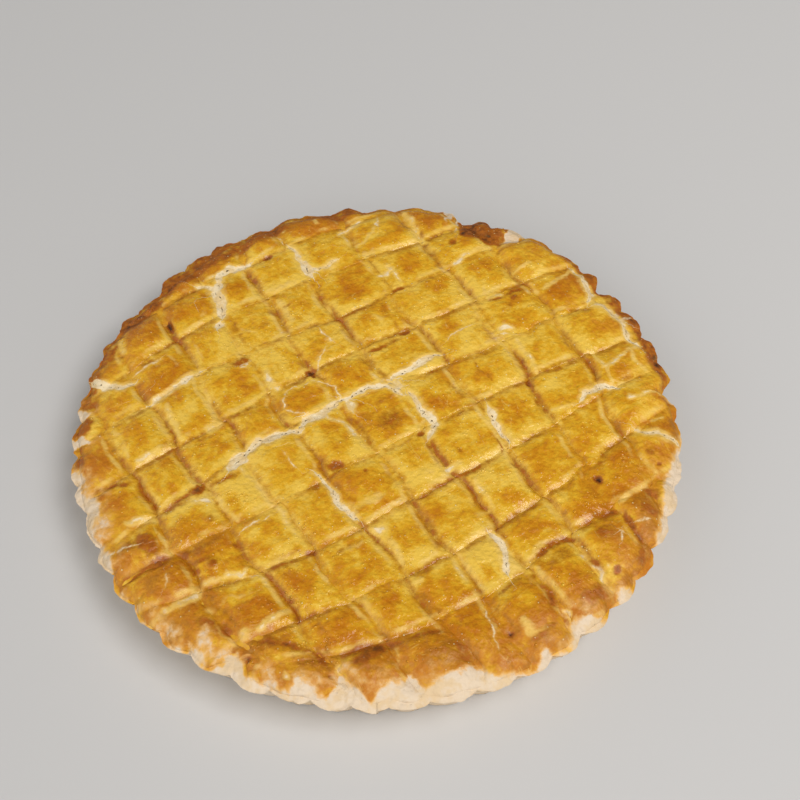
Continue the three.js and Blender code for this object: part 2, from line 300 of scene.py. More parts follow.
        ((-3.5, 1), (4.5, 2.6), 0, 0.45, 0.2), ((6, 6), (6.0, 1.6), 10, 0.45, 0.0),
        ((-82, -3), (3.4, 2.6), 20, 1.05, 0.3), ((-42.5, 52.5), (4.0, 2.4), 0, 0.8, 0.2),
        ((-9, 106.5), (2.2, 1.8), 0, 1.2, -0.9), ((-64.7, 86), (1.5, 4.0), 0, 1.4, -1.2),
        ((-12, 74), (2.4, 1.0), 0, 0.6, -0.2), ((-26, 68), (3.4, 2.0), 20, 0.4, 0.0),
        ((38.5, 61), (4.0, 1.2), 0, 0.9, -0.4), ((74, 77), (2.2, 2.0), 0, 0.8, -0.2),
        ((70.5, -8.5), (1.8, 1.6), 0, 0.7, -0.3), ((67.5, -11.7), (1.3, 1.6), -30, 1.2, -0.8),
        ((84.5, 34), (2.2, 1.6), 30, 0.7, 0.0), ((80.5, 31), (1.8, 1.6), 0, 0.45, 0.0),
        ((106.5, -27.3), (2.6, 1.2), 0, 0.6, 0.0), ((66.5, -23), (1.6, 2.8), 0, 0.6, 0.0),
        ((-109, -18.5), (3.8, 6.0), 10, 0.95, 0.1), ((-107, -27), (4.0, 1.4), 0, 1.2, -0.4),
        ((-97, -29.5), (2.2, 1.8), 0, 0.85, 0.1), ((-93, -34.7), (6.0, 1.3), 0, 0.75, 0.1),
        ((-88.3, -38), (2.1, 1.9), 0, 0.95, 0.6), ((-95.6, -38.5), (2.0, 1.6), 0, 1.1, 0.4),
        ((-77.2, -34), (1.3, 1.6), 0, 0.65, 0.2), ((-82, -18.5), (2.0, 2.2), 0, 0.45, 0.2),
        ((-51, -49.7), (2.8, 1.8), 0, 0.95, -0.4), ((-91, -81), (2.4, 1.4), -10, 1.5, -1.6),
        ((-93.4, -84), (0.9, 3.0), -5, 1.2, -0.8), ((-64.5, -101.5), (1.0, 1.2), 0, 1.3, -0.6),
        ((-49.5, -100.8), (6.5, 2.6), 0, 1.0, 0.1), ((-14.5, -112.5), (2.6, 4.4), 20, 0.85, 0.0),
        ((-12.3, -118.5), (1.6, 1.6), 0, 0.8, 0.0), ((4.8, -115), (1.5, 1.3), 0, 1.6, -0.9),
        ((20, -56), (1.8, 2.4), 0, 0.55, 0.0), ((70, -68), (1.6, 2.2), 15, 1.5, -0.9),
        ((96.5, -65.7), (2.2, 1.8), 0, 0.75, 0.2), ((97, -72.3), (1.1, 0.9), 0, 0.95, -0.2),
        ((59, -92), (2.2, 2.0), 0, 0.7, 0.3), ((55.3, -108.5), (1.6, 1.0), 0, 0.95, 0.0),
        ((-1.2, -126), (1.8, 1.6), 0, 0.55, 0.0), ((24, -127), (2.6, 0.9), 0, 0.75, 0.0),
        ((-59, -109.7), (0.8, 0.8), 0, 0.7, -0.2), ((-14, -124.7), (0.9, 0.7), 0, 0.6, -0.2),
        ((-70, -109), (1.5, 1.0), 0, 0.6, 0.0), ((27.8, -115.4), (0.9, 0.8), 0, 1.2, -0.4),
        ((27.2, -119.6), (0.8, 0.9), 0, 1.7, -0.8),
    ],
    # wide uneven baking: place, half-sizes, turn, tone, toast; each one's number seeds its edge
    "patches": [
        ((-20, 22), (9, 6), 0, 0.32, 0.05), ((-35, -28), (6, 8), 0, 0.3, 0.05),
        ((27, 27), (8, 5), 0, 0.22, 0.08), ((0, -37), (28, 3), 0, -0.4, 0),
        ((28, 14), (9, 2.2), 8, -0.5, 0), ((-42, 3), (5, 4), 0, -0.45, 0), ((-58, 0), (8, 5), 0, -0.3, 0),
        ((-20, -12), (8, 3), 0, -0.25, 0), ((8, 27), (3, 8), 0, -0.2, 0), ((-17, -2), (7, 8), 0, 0.1, 0),
        ((0, 24), (8, 6), 0, 0.18, 0.04), ((-30, 93), (6.5, 6), 0, 0.45, 0.25),
        ((20, 69), (12, 8), 0, 0.25, 0.08), ((-5, 96), (8, 6), 0, 0.25, 0.05),
        ((-60, 95), (8, 7), 0, 0.3, 0.3), ((-77, 87), (8, 8), 0, 0.6, 0.1),
        ((-78, 58), (8, 4), 15, 0.25, 0), ((78, 97), (6, 8), 0, 0.3, 0.1), ((82, 58), (6, 4), 0, 0.3, 0.12),
        ((55, 55), (8, 6), 0, 0.25, 0.1), ((40, 97), (5, 3), 20, -0.4, 0),
        ((-114, 33), (6, 8), 0, 0.3, 0.05), ((-97, 33), (5, 7), 0, 0.2, 0),
        ((-112, 5), (6, 5), 0, 0.2, 0.05), ((-108, 2.5), (2.5, 2.5), 0, -0.4, 0),
        ((-120, -22), (4, 4), 0, 0.35, 0.25), ((-108, -35), (9, 6), 0, 0.3, 0.22),
        ((-87, -17), (5, 6), -20, 0.25, 0.12), ((-92, -8), (4, 2), 0, -0.2, 0),
        ((-66, -12), (6, 8), 0, -0.12, 0), ((-75, 28), (5, 3), -30, 0.15, 0.05),
        ((105, 28), (6, 4), 0, 0.3, 0.12), ((112, 5), (9, 8), 0, 0.15, 0.05),
        ((85, 1), (8, 8), 0, 0.12, 0.03), ((80, -16), (10, 4), 0, -0.3, 0), ((56, 18), (8, 5), 0, -0.3, 0),
        ((84, 30), (6, 5), 0, 0.15, 0.15), ((95, 82), (8, 6), -25, 0.3, 1.0),
        ((87, 84), (4, 5), 0, 0.3, 0.35), ((-80, -64), (8, 4), -15, 0.35, 0.05),
        ((-80, -52), (8, 2), 0, -0.3, 0), ((-114, -58), (3, 4), 0, 0.3, 0.35),
        ((-103, -72), (4, 3), 0, 0.3, 0.4), ((-95, -65), (4, 5), 0, 0.2, 0.35),
        ((-72, -96), (6, 4), -30, 0.5, 0.3), ((-88, -91), (3, 1.6), 0, 0.4, 0.25),
        ((-50, -107), (8, 4), 0, 0.7, 0.12), ((-54, -112.5), (3, 3), 0, 0.6, 0.3),
        ((-28, -108), (9, 5), 0, 0.55, 0.18), ((-30, -117), (6, 2), 0, 0.4, 0.15),
        ((-12, -70), (8, 4), 0, -0.35, 0), ((-33, -84), (5, 5), 0, 0.2, 0.2),
        ((35, -76), (6, 4), 0, 0.2, 0.22), ((0, -55), (5, 5), 0, 0.22, 0.05),
        ((-12, -57), (5, 4), 0, 0.22, 0.03), ((18, -84), (3, 9), 0, -0.25, 0),
        ((13, -80), (4, 6), 0, -0.2, 0), ((37, -116), (6, 3), 0, 0.4, 0.4),
        ((20, -124), (5, 2), 0, 0.4, 0.3), ((5, -125), (7, 3), 0, 0.4, 0.18),
        ((-3, -108), (6, 6), 0, 0.2, 0.1), ((83, -88), (7, 6), 0, 0.35, 0.5),
        ((59, -93), (6, 6), 0, 0.2, 0.3), ((65, -109), (7, 3), 0, 0.35, 0.4),
        ((60, -105), (7, 2), 0, 0.1, 0), ((104, -66), (7, 5), 0, 0.25, 0.1),
        ((103, -52), (4, 2), 0, 0.3, 0.2), ((112, -58), (3, 6), -20, 0.3, 0.3),
        ((50, -70), (12, 4), 0, -0.15, 0), ((30, -55), (10, 6), 0, -0.1, 0),
        ((-60, 12), (10, 6), 0, 0.12, 0.03), ((-95, 10), (10, 8), 0, 0.08, 0.02),
        ((-50, -32), (10, 6), 0, 0.0, 0), ((52, -48), (8, 6), 0, 0.1, 0.05),
        ((-65, 38), (6, 6), 0, -0.2, 0), ((-113, 20), (11, 12), 0, -0.3, 0),
        ((-78, 33), (11, 11), 0, -0.4, 0), ((-23, -51), (12, 11), 0, -0.4, 0),
        ((61, 2), (12, 12), 0, -0.45, 0), ((40, -47), (11, 11), 0, -0.4, 0),
        ((17, -99), (12, 10), 0, -0.4, 0), ((50, -103), (10, 10), 0, -0.3, 0),
        ((91, -70), (10, 11), 0, 0.35, 0), ((-20, -113), (12, 7), 0, 0.5, 0.6),
        ((-45, -104), (10, 7), 0, 0.3, 0.35), ((-70, -96), (10, 8), 0, 0.3, 0.35),
        ((20, 114), (12, 8), 0, 0.4, 0), ((85, 54), (11, 10), 0, 0.2, 0), ((-88, 9), (10, 10), 0, 0.2, 0),
        ((-42, -27), (12, 16), 45, -0.2, 0), ((14, -37), (11, 11), 0, -0.2, 0),
        ((-85, -54), (10, 9), 0, -0.25, 0), ((71, 91), (9, 9), 0, -0.15, 0),
        ((8, 88), (14, 11), 0, -0.12, 0), ((-3, 62), (14, 11), 0, -0.12, 0),
        ((34, 77), (11, 10), 0, -0.15, 0), ((46, 104), (9, 9), 0, -0.25, 0),
        ((-99, -20), (11, 10), 0, 0.25, 0), ((-9, -88), (12, 11), 0, 0.3, 0),
        ((23, 51), (10, 9), 0, 0.15, 0), ((-40, 48), (10, 9), 0, 0.15, 0),
        ((-34, -76), (12, 12), 0, 0.35, 0), ((28, -74), (12, 10), 0, 0.22, 0),
        ((-76, -27), (14, 12), 0, 0.35, 0), ((-106, -36), (10, 14), 0, 0.4, 0.15),
        ((60, 66), (14, 13), 0, 0.3, 0), ((26, -11), (12, 11), 0, 0.25, 0),
        ((51, -23), (10, 10), 0, 0.25, 0), ((89, -38), (14, 10), 0, 0.15, 0),
        ((-26, 11), (12, 10), 0, 0.12, 0), ((22, 118), (10, 8), 0, 0.3, 0),
    ],
}

# More marks near the rim: a place is an angle from the front and a radius, and a size is along and
# across the rim.
rimMarks = {
    # brown grooves round the bulges near the rim, partly painted shade that shows their form
    "grooves": [
        ([(336.1, 118.2), (336.7, 114.6), (337.9, 112.1), (340.4, 111.2), (344.7, 111.7), (347.8, 112.2),
          (349.7, 114), (351.1, 117.5)], 3.4, 1.25),
        ([(352.6, 114.2), (353.7, 111.5), (355.5, 108.7), (357.9, 106.8), (0, 106)], 3.0, 1.0),
        ([(0, 106), (2.5, 106.7), (4.6, 105.5), (7.6, 104.1), (10.3, 103.7), (14.7, 103.7)], 2.6, 1.05),
        ([(5.2, 109.2), (5.4, 112.3), (5.6, 115.3)], 1.6, 0.55),
        ([(15.8, 115.9), (17.7, 116.6), (18.6, 119.7)], 2.6, 0.9),
        ([(26.2, 101.3), (26.8, 106), (27.7, 113.7), (28.2, 119.3)], 2.6, 0.6),
        ([(26.5, 100.2), (29.5, 98.2), (32.4, 96.9), (35.6, 97.2), (37.8, 98.9), (38.5, 102.4)], 3.0, 0.9),
        ([(38.5, 102.4), (38.1, 108.2), (37.1, 112.8), (36.1, 115.1)], 3.0, 0.9),
        ([(39.6, 94), (43.3, 94.4), (47.5, 95.2), (50.7, 97.6), (52.2, 102.1)], 3.2, 1.0),
        ([(52.1, 102.9), (51.4, 106.4), (50.6, 110.8), (49.3, 116.9)], 2.6, 0.9),
        ([(55.2, 100.3), (57.4, 100.2), (59.9, 102.5), (62, 107.2), (63.2, 110.6)], 3.2, 1.0),
        ([(63.8, 112.1), (62, 116.5), (60.7, 120.7), (59.4, 125.2)], 3.0, 1.1),
        ([(320.9, 106.5), (323.4, 106.8), (327.4, 109.1), (330.6, 111.2), (332.1, 114.3)], 2.8, 0.85),
        ([(307.5, 126.3), (307.8, 119), (308.5, 111.8), (308.7, 107.3)], 2.6, 1.1),
        ([(122.4, 98.9), (122.6, 105), (122, 110), (121.6, 115)], 2.2, 0.6),
        ([(104.3, 124.8), (102, 125.5), (100.7, 129), (99.5, 131)], 3.0, 0.95),
        ([(99.4, 109.2), (99.8, 115), (99.8, 119.6)], 1.8, 0.65),
        ([(94.3, 124.7), (92.4, 127.6), (90.7, 128.6), (88.9, 129.6), (85.8, 131)], 1.8, 0.7),
        ([(76, 96.4), (78.6, 98.7), (80.9, 102.6), (82.5, 106.3)], 2.4, 0.65),
    ],
    "cracks": [
        ([(132.2, 125), (129.7, 125.8), (128.5, 123), (127.1, 122.5), (125.8, 121.8), (124.6, 121.5),
          (123.4, 118.8), (122.9, 116.5)], 2.4, 0.45),
        ([(121.4, 117), (120.5, 120.8), (119, 121.4), (117.3, 122), (116, 122.8), (114.4, 122.8),
          (112.9, 122.3), (110.9, 121.5), (109.4, 121.9), (107.9, 122.9)], 2.2, 0.45),
        ([(115.7, 124.5), (115.5, 128.8)], 1.8, 0.3),
    ],
    "paleLines": [
        ([(352.9, 115), (353, 118), (353.7, 120.7), (354.1, 123)], 1.6, 0.8),
        ([(3.7, 108.9), (3.9, 113)], 1.5, 0.85),
        ([(29.8, 113), (28.9, 117), (29.8, 118.8), (32.8, 119)], 1.8, 0.7),
        ([(49.6, 107.3), (49.5, 110.2), (49.3, 114.6), (47.9, 119.5), (47.1, 125)], 2.0, 1.0),
        ([(319.7, 108.2), (318.6, 116.2), (317.6, 122.9), (317.1, 130)], 3.0, 0.8),
        ([(300.8, 124.3), (301.2, 120.1), (302, 115.8)], 1.4, 0.9),
        ([(332.9, 114.2), (335, 109.1), (338, 101.7), (339.2, 97)], 3.0, 0.75),
        ([(343.6, 123.2)], 2.4, 0.95), ([(338.1, 122.5)], 2.2, 0.8), ([(50.6, 117.6)], 1.6, 0.8),
        ([(58.9, 113), (58.9, 116.5)], 1.2, 0.7), ([(37.4, 118.3), (38, 120.4), (37.6, 122.3)], 1.7, 1.0),
        ([(39.5, 125.3), (41.2, 126.6), (43.2, 127.6)], 1.6, 0.9),
        ([(65, 127), (68, 126.6), (71, 125)], 1.6, 0.7), ([(117.2, 123.8)], 4.5, 1.0),
        ([(126.1, 127.7), (123.9, 126.3)], 3.0, 1.0),
    ],
    # place, sizes, strength, height
    "spots": [
        ((0.2, 108.4), (3.4, 2.6), 1.15, -0.2), ((358.5, 116.6), (8.5, 2.0), 0.55, 0),
        ((12.5, 113.6), (8.5, 4.4), 0.6, 0), ((347.3, 116.3), (7, 3), 0.6, 0),
        ((353.3, 121), (1.6, 2), 0.5, -0.7), ((333.4, 121.2), (1.8, 1.6), 0.9, -0.3),
        ((325.8, 117), (6, 3), 0.75, 0.1), ((329.7, 115.2), (3, 3), 0.85, 0),
        ((322.5, 126.5), (2.5, 2.5), 0.85, 0), ((322.7, 121.5), (3.4, 2), 0.5, 0),
        ((312, 118.5), (5, 5), 0.45, 0), ((302, 118), (3, 6), 0.6, 0), ((30.8, 121.2), (4.5, 1.6), 0.85, 0),
        ((33.5, 119.8), (3, 1.4), 0.75, 0), ((23.4, 124.8), (2, 1.6), 0.5, 0),
        ((26.4, 123.5), (2, 1.6), 0.5, 0), ((26.6, 128), (3, 1.5), 0.65, 0),
        ((34.5, 127.5), (4, 1.8), 0.7, 0), ((42.8, 121.6), (6.5, 3.8), 0.8, 0),
        ((45.2, 122.6), (4, 4), 0.85, 0), ((46, 101.5), (7, 4), 0.4, 0), ((56.5, 108.7), (3.5, 3), 0.8, 0),
        ((51.2, 121.4), (2.4, 1.6), 1.0, -0.1), ((56, 127), (3, 2), 1.0, 0),
        ((57.5, 125.5), (3, 2), 0.75, 0), ((66.2, 121.5), (3.6, 5), 0.85, 0),
        ((37.1, 121.2), (1.5, 1.2), 1.7, -1.2), ((57.2, 110.4), (4.5, 3), 0.6, 0),
        ((70.5, 120.5), (3, 4), 0.85, 0), ((68, 117), (4, 5), 0.45, 0), ((16.8, 117), (4.5, 2.6), 0.75, 0),
        ((358.9, 108.6), (6, 2.6), 0.95, 0), ((53, 128), (5, 2.4), 0.75, 0),
    ],
    # bulges: place, sizes, height
    "domes": [
        ((304, 121), (5.5, 7), 0.6), ((313.5, 118), (6.5, 9), 0.8), ((325.5, 118), (8.5, 6.5), 0.8),
        ((344, 119.6), (14, 7.4), 1.3), ((358.8, 115.8), (10.5, 7.6), 1.4), ((12.5, 114), (14, 8), 1.0),
        ((32.5, 110), (9, 8), 0.6), ((29.5, 124), (8, 3.5), 0.5), ((44.5, 112), (9, 14), 0.7),
        ((56, 114), (9, 12), 0.8), ((66.5, 118), (5, 9), 0.6), ((249, 114), (12, 10), 0.9),
    ],
}

# Round the rim: each list holds a value at some angles, in degrees from the front.
rim = {
    "dents": [
        (0, 0), (92, 0), (94, 3), (97, 3), (99, 0), (122, 0), (124.5, 2.5), (126.5, 1.5), (128, 0),
        (151, 0), (153.5, 2.5), (155, 1), (157, 1), (158.5, 5), (161.5, 5.5), (163.5, 1), (172, 0.5),
        (176, 3), (182, 3.5), (186, 0.5), (189, 2.5), (193, 3), (196, 1), (200, 1.5), (204, 3.5), (212, 3),
        (216, 0), (219, 1.5), (222, 1), (228, 1), (231, 0), (234, 4.5), (236, 4), (240, 1.5), (243, 0),
        (247, 1), (250, 0), (253, 1), (257, 0), (284, 0), (290, 1.5), (300, 1.5), (304, 1), (308, 0.5),
        (312, 0),
    ],
    "fluteDepth": [
        (0, 2.5), (28, 2.7), (38, 3.2), (70, 3.2), (80, 2.4), (96, 3.0), (104, 3.8), (131, 3.6), (140, 2.0),
        (180, 1.5), (240, 2.2), (258, 3.0), (282, 3.2), (292, 2.6), (300, 3.0), (330, 3.0), (345, 2.5),
    ],
    # where the lid's dough ends
    "lidReach": [
        (0, 127.5), (4, 128), (20, 128), (35, 128.5), (45, 129), (64, 129), (72, 128), (78, 128.5),
        (84, 129.5), (93, 127.5), (98, 127), (104, 128), (107.5, 124), (109, 122.6), (113, 123),
        (117, 122.6), (120.5, 121.6), (122, 118.5), (123.4, 119.5), (125, 122), (128, 123.5), (130, 126.5),
        (132.3, 126), (134, 129), (140, 129), (156, 128), (158, 124), (162, 123), (165, 128), (175, 127),
        (180, 124), (186, 124), (192, 125), (200, 126), (205, 124), (218, 124), (232, 123), (241, 125),
        (246, 127), (252, 128), (258, 129), (262, 128), (267, 127.5), (275, 128), (282, 127.5),
        (290, 127.5), (297, 130), (330.5, 130), (331.5, 125), (333, 121.5), (336, 123), (337.5, 128),
        (350, 128.5), (352, 125), (354, 124), (355.5, 127.5),
    ],
    # where the glaze ends
    "glaze": [
        (0, 126), (1, 122.5), (4, 121.5), (4.5, 123), (5.2, 121.5), (5.6, 116), (6.3, 116), (6.7, 121),
        (7.3, 125.3), (8.6, 125.3), (10.4, 122.6), (12.9, 121.5), (14.4, 122.4), (16.2, 121), (19.4, 122.6),
        (19.8, 126), (21.9, 128.6), (23.9, 128), (25.3, 130), (27, 131.5), (28, 129.5), (29.3, 127),
        (30.5, 126.5), (31.8, 128.7), (33.3, 131), (34.7, 130.5), (35.9, 127.5), (37.2, 123), (39.5, 123.5),
        (41, 128), (43, 131), (46.5, 129), (47.5, 126), (49, 129), (51, 132), (58, 132), (60, 128.5),
        (66, 127), (70, 125), (75, 124.5), (80, 127), (84, 130.5), (92, 133), (93.5, 127), (96, 126),
        (98, 136), (145, 136), (146.5, 130), (147.5, 117), (149.5, 117), (151, 136), (162, 136), (163, 119),
        (164, 119), (165.5, 136), (250, 136), (266, 132), (267.3, 124), (268.4, 124), (269, 136),
        (272, 136), (273, 124), (275, 123), (276, 136), (280, 136), (280.6, 126), (283, 126.5),
        (285, 127.5), (286, 127), (287, 124.5), (288, 121.5), (290, 121), (290.8, 122), (292, 123.5),
        (294, 125.5), (296, 127), (298, 127), (299.5, 125.5), (302, 126), (303.5, 127), (305, 129.5),
        (307, 132), (314, 131), (319, 131.5), (324, 131.5), (325, 126), (327, 126), (329, 128.5),
        (330, 132), (331, 131), (331.8, 126), (333, 121.3), (334.5, 121.3), (335.5, 124), (336.5, 128),
        (337.5, 127.6), (341, 127.3), (342.5, 126.5), (343.3, 129.3), (344.3, 128.8), (345.3, 123.5),
        (346.5, 122.6), (348, 124.5), (348.6, 126.5), (349.3, 124), (350.3, 127), (351.2, 130), (352, 127),
        (352.6, 119), (353.8, 118), (354.3, 121), (355, 121.6), (356.8, 123), (357.4, 128), (358.5, 129.3),
        (359.5, 128.5),
    ],
    # how much the dough shows through the glaze near the rim
    "peach": [
        (0, 0.9), (6, 0.5), (28, 0.45), (38, 0.9), (50, 0.5), (62, 0.2), (96, 0.1), (150, 0.2), (200, 0.1),
        (250, 0.1), (262, 0.4), (285, 0.9), (296, 1.3), (330, 1.3), (340, 1),
    ],
    # how toasted the edge is, and where that starts
    "toast": [
        (0, 0.3), (8, 0.2), (20, 0.25), (30, 0.35), (45, 0.45), (58, 0.4), (66, 0.55), (72, 0.15),
        (85, 0.4), (96, 0.6), (104, 0.95), (112, 0.85), (125, 0.75), (140, 0.55), (147, 0.3), (151, 0.9),
        (159, 1.0), (163, 0.3), (172, 0.45), (182, 0.7), (190, 0.85), (197, 0.5), (203, 0.8), (212, 0.7),
        (225, 0.75), (243, 0.9), (255, 0.65), (263, 0.6), (266, 0.8), (268, 0.3), (270, 1.0), (272, 1.1),
        (274, 0.3), (277, 1.3), (279.5, 1.3), (281, 0.2), (285, 0.1), (300, 0.15), (312, 0.3), (320, 0.45),
        (345, 0.25), (356, 0.3),
    ],
    "toastFrom": [
        (0, 118), (8, 120), (20, 121), (40, 122), (60, 121), (66, 113), (72, 124), (84, 122), (96, 124),
        (104, 122.5), (125, 123), (142, 126), (149, 112), (159, 110), (163, 126), (180, 124), (188, 116),
        (196, 121), (203, 116.5), (215, 114), (225, 116), (235, 117.5), (243, 118), (249, 123), (255, 119),
        (262, 121), (270, 119.5), (277, 124.5), (285, 123), (300, 122), (320, 121), (345, 119), (354, 116),
    ],
    # bare dough on the shell, beyond the lid
    "flaky": [
        (0, 0.2), (60, 0.3), (75, 0.8), (95, 0.7), (125, 1), (145, 0.6), (180, 0.3), (220, 0.8), (255, 0.5),
        (285, 1), (305, 1), (320, 0.4),
    ],
    # the level down to which the rim is toasted
    "toastDown": [
        (0, 24.5), (60, 23), (96, 21), (105, 18), (140, 18), (180, 17), (240, 17), (262, 18), (285, 23),
        (320, 24),
    ],
    "shoulderStart": 111.0,  # where the lid starts to roll down
    "shoulderDrop": 5.6,
}


def edgeLine(values, where):  # a smooth line through the five values, straight on past its ends
    values = np.asarray(values, float)
    first = weave["stations"][0]
    place = (np.asarray(where, float) - first) / (weave["stations"][1] - first)
    i = np.clip(np.floor(place), 0, len(values) - 2).astype(int)
    slope = np.gradient(values)
    t = place - i
    s = np.clip(t, 0, 1)
    bend = (2 * s ** 3 - 3 * s ** 2 + 1) * values[i] + (3 * s ** 2 - 2 * s ** 3) * values[i + 1]
    bend += (s ** 3 - 2 * s ** 2 + s) * slope[i] + (s ** 3 - s ** 2) * slope[i + 1]
    return bend + (t - s) * np.where(t < 0, slope[0], slope[-1])


def plainEdges(kind, where):
    return np.stack([edgeLine(line, where) for line in weave[kind]])


def pick(edges, number):
    return np.take_along_axis(edges, number[None], 0)[0]


def stripAt(edges, place, rising):  # which strip a place falls in, and how far across it
    inside = (edges < place) if rising else (edges > place)
    index = np.clip(inside.sum(0) - 1, 0, stripCount - 1)
    low, high = pick(edges, index), pick(edges, index + 1)
    return index, np.clip((place - low) / (high - low), 0, 1)


def cutEdges(kind, u, v):  # the visible edges: squeezed or puffed where a strip lies on top, and wandering
    isAcross = kind == "across"
    run = u if isAcross else v
    others = plainEdges("down", v) if isAcross else plainEdges("across", u)
    crossing, share = stripAt(others, run, isAcross)
    window = 1 - np.abs(2 * share - 1) ** 4
    number = np.arange(stripCount + 1).reshape((-1,) + (1,) * np.ndim(u))
    parity = np.where((number + crossing) % 2 == (0 if isAcross else 1), 1.0, -1.0)
    amount = weave["puff"] if isAcross else weave["squeeze"]
    seed = 5 if isAcross else 6
    wander = softNoise(run + 0 * number, 31.7 * number + 0 * run, 8.0, seed)
    wander = wander + 0.5 * softNoise(run + 0 * number, 17.3 * number + 0 * run, 3.0, seed + 9)
    return plainEdges(kind, run) + amount * parity * window + weave["wander"] * wander


def fluteWave(angle):  # 0 in the notches, 1 on the flutes
    return np.abs(np.sin(np.radians(pie["flutes"] / 2 * (np.asarray(angle) - pie["firstNotch"]))))


def rimRadiusAt(angle):  # the pie's widest line
    depth = aroundRim(rim["fluteDepth"], angle) * (1 + 0.2 * softNoise(angle, 0 * angle, 11, 21))
    wave = fluteWave(angle + 0.9 * softNoise(angle, 0 * angle, 7, 24)) ** 0.8
    uneven = 0.35 * softNoise(angle, 0 * angle, 4, 22) + 0.2 * softNoise(angle, 0 * angle, 1.2, 23)
    return pie["tipRadius"] + 0.3 - depth * (1 - wave) - aroundRim(rim["dents"], angle) + uneven


def shoulderLevel(x, y):  # the lid's smooth top, before any relief
    angle, radius = polarOf(x, y)
    reach = rimRadiusAt(angle) + 0.6 - rim["shoulderStart"]
    share = np.clip((radius - rim["shoulderStart"]) / reach, 0, 0.995)
    crownRise = 1.2 * (1 - (radius / pie["tipRadius"]) ** 2)
    wavy = 0.5 * softNoise(x, y, 45, 31) + 0.25 * softNoise(x, y, 22, 32)
    level = pie["lidTop"] - 1.6 + crownRise + wavy * smooth((128 - radius) / 20)
    return level - rim["shoulderDrop"] * (1 - np.sqrt(1 - share ** 2))


def alongLine(points, u, v):  # distance to a line, signed by its side, and the share of the way along
    if len(points) == 1:
        return np.hypot(u - points[0][0], v - points[0][1]), np.full(u.shape, 0.5)
    best = np.full(u.shape, 1e9)
    side = np.zeros(u.shape)
    share = np.zeros(u.shape)
    for i, ((u0, v0), (u1, v1)) in enumerate(zip(points, points[1:])):
        du, dv = u1 - u0, v1 - v0
        t = ((u - u0) * du + (v - v0) * dv) / (du * du + dv * dv)
        near = np.clip(t, 0, 1)
        away = np.hypot(u - u0 - near * du, v - v0 - near * dv)
        cross = ((v - v0) * du - (u - u0) * dv) / math.hypot(du, dv)
        nearer = away < best
        share = np.where(nearer, (i + near) / (len(points) - 1), share)
        side = np.where(nearer, np.where(cross < 0, -away, away), side)
        best = np.minimum(best, away)
    return side, share


def placesNear(points, paleMarginAndHighlight, u, v):  # which places lie near a mark
    us, vs = zip(*points)
    isNear = (u > min(us) - paleMarginAndHighlight) & (u < max(us) + paleMarginAndHighlight) & (v > min(vs) - paleMarginAndHighlight) & (v < max(vs) + paleMarginAndHighlight)
    return np.nonzero(isNear)[0]


def bell(x):
    return np.exp(-x * x)


def patchShare(place, size, turn, u, v, seed):  # 1 inside an uneven patch, 0 outside
    c, s = math.cos(math.radians(turn)), math.sin(math.radians(turn))
    du, dv = u - place[0], v - place[1]
    wobble = min(size) * 0.45
    away = np.hypot((du * c + dv * s) / size[0], (dv * c - du * s) / size[1])
    away = away + 0.28 * roughNoise(u, v, max(wobble, 1.5), seed, 2)
    return smooth((1.55 - away) / 1.25)


def eachPatch(kind, seed, u, v):  # which places it covers, how much, and its own values
    for number, (place, size, turn, *values) in enumerate(marks[kind]):
        here = placesNear([place], max(size) * 1.8 + 1, u, v)
        yield here, patchShare(place, size, turn, u[here], v[here], seed + number), *values


def nearRim(angle, radius):
    return layOf(*fromPolar(angle, radius))


for kind in ("grooves", "cracks", "paleLines"):
    marks[kind] += [([nearRim(*place) for place in points], *values) for points, *values in rimMarks[kind]]
for kind in ("spots", "domes"):
    marks.setdefault(kind, []).extend(
        (nearRim(*place), size, place[0] - pie["layAngle"], *values)
        for place, size, *values in rimMarks[kind])


baking = {
    "threadWidth": 1.5,  # pale lines thinner than this are hair cracks
    "lip": 0.22,  # a crack's torn lips stand up by this
    "dig": 0.42,  # and its middle is this deep
    "lineRise": 0.1,
    "grooveSink": 0.45,
    "grooveBrownAndShade": 0.87,
    "patchTone": 0.75,
    "domeRise": 1.25,
}


def raiseTo(field, here, values):
    field[here] = np.maximum(field[here], values)


def bakeCracks(field, u, v, wobbleU, wobbleV):
    closest = np.full(u.shape, 1e9)
    threads = [(points, 0.65 * width * strength, 0.0)
               for points, width, strength in marks["paleLines"] if width < baking["threadWidth"]]
    for points, width, depth in marks["cracks"] + threads:
        here = placesNear(points, 9, u, v)
        if not len(here):
            continue
        side, share = alongLine(points, u[here] + wobbleU[here], v[here] + wobbleV[here])
        away = np.abs(side)
        half = 0.6 * width * (0.4 + 0.6 * np.sqrt(np.clip(4 * share * (1 - share), 0, 1)))
        half = half * (1 + 0.35 * softNoise(u[here], v[here], 5, 45))
        nearer = away - half < closest[here]
        chosen = here[nearer]
        closest[chosen] = (away - half)[nearer]
        field["crackSide"][chosen] = side[nearer]
        field["crackHalf"][chosen] = half[nearer]
        field["crackGap"][chosen] = smooth(depth * 1.5)
        if not depth:
            raiseTo(field["bare"], here, 0.3 * bell(away / 1.6))
            continue
        lip = baking["lip"] * depth * bell((away - half - 1.2) / 1.2)
        dig = baking["dig"] * depth * smooth(1.15 - away / (half + 0.7))
        field["lift"][here] = np.minimum(field["lift"][here], -dig) + lip
        raiseTo(field["bare"], here, 0.55 * bell(np.clip(away - half, 0, 99) / 1.6))


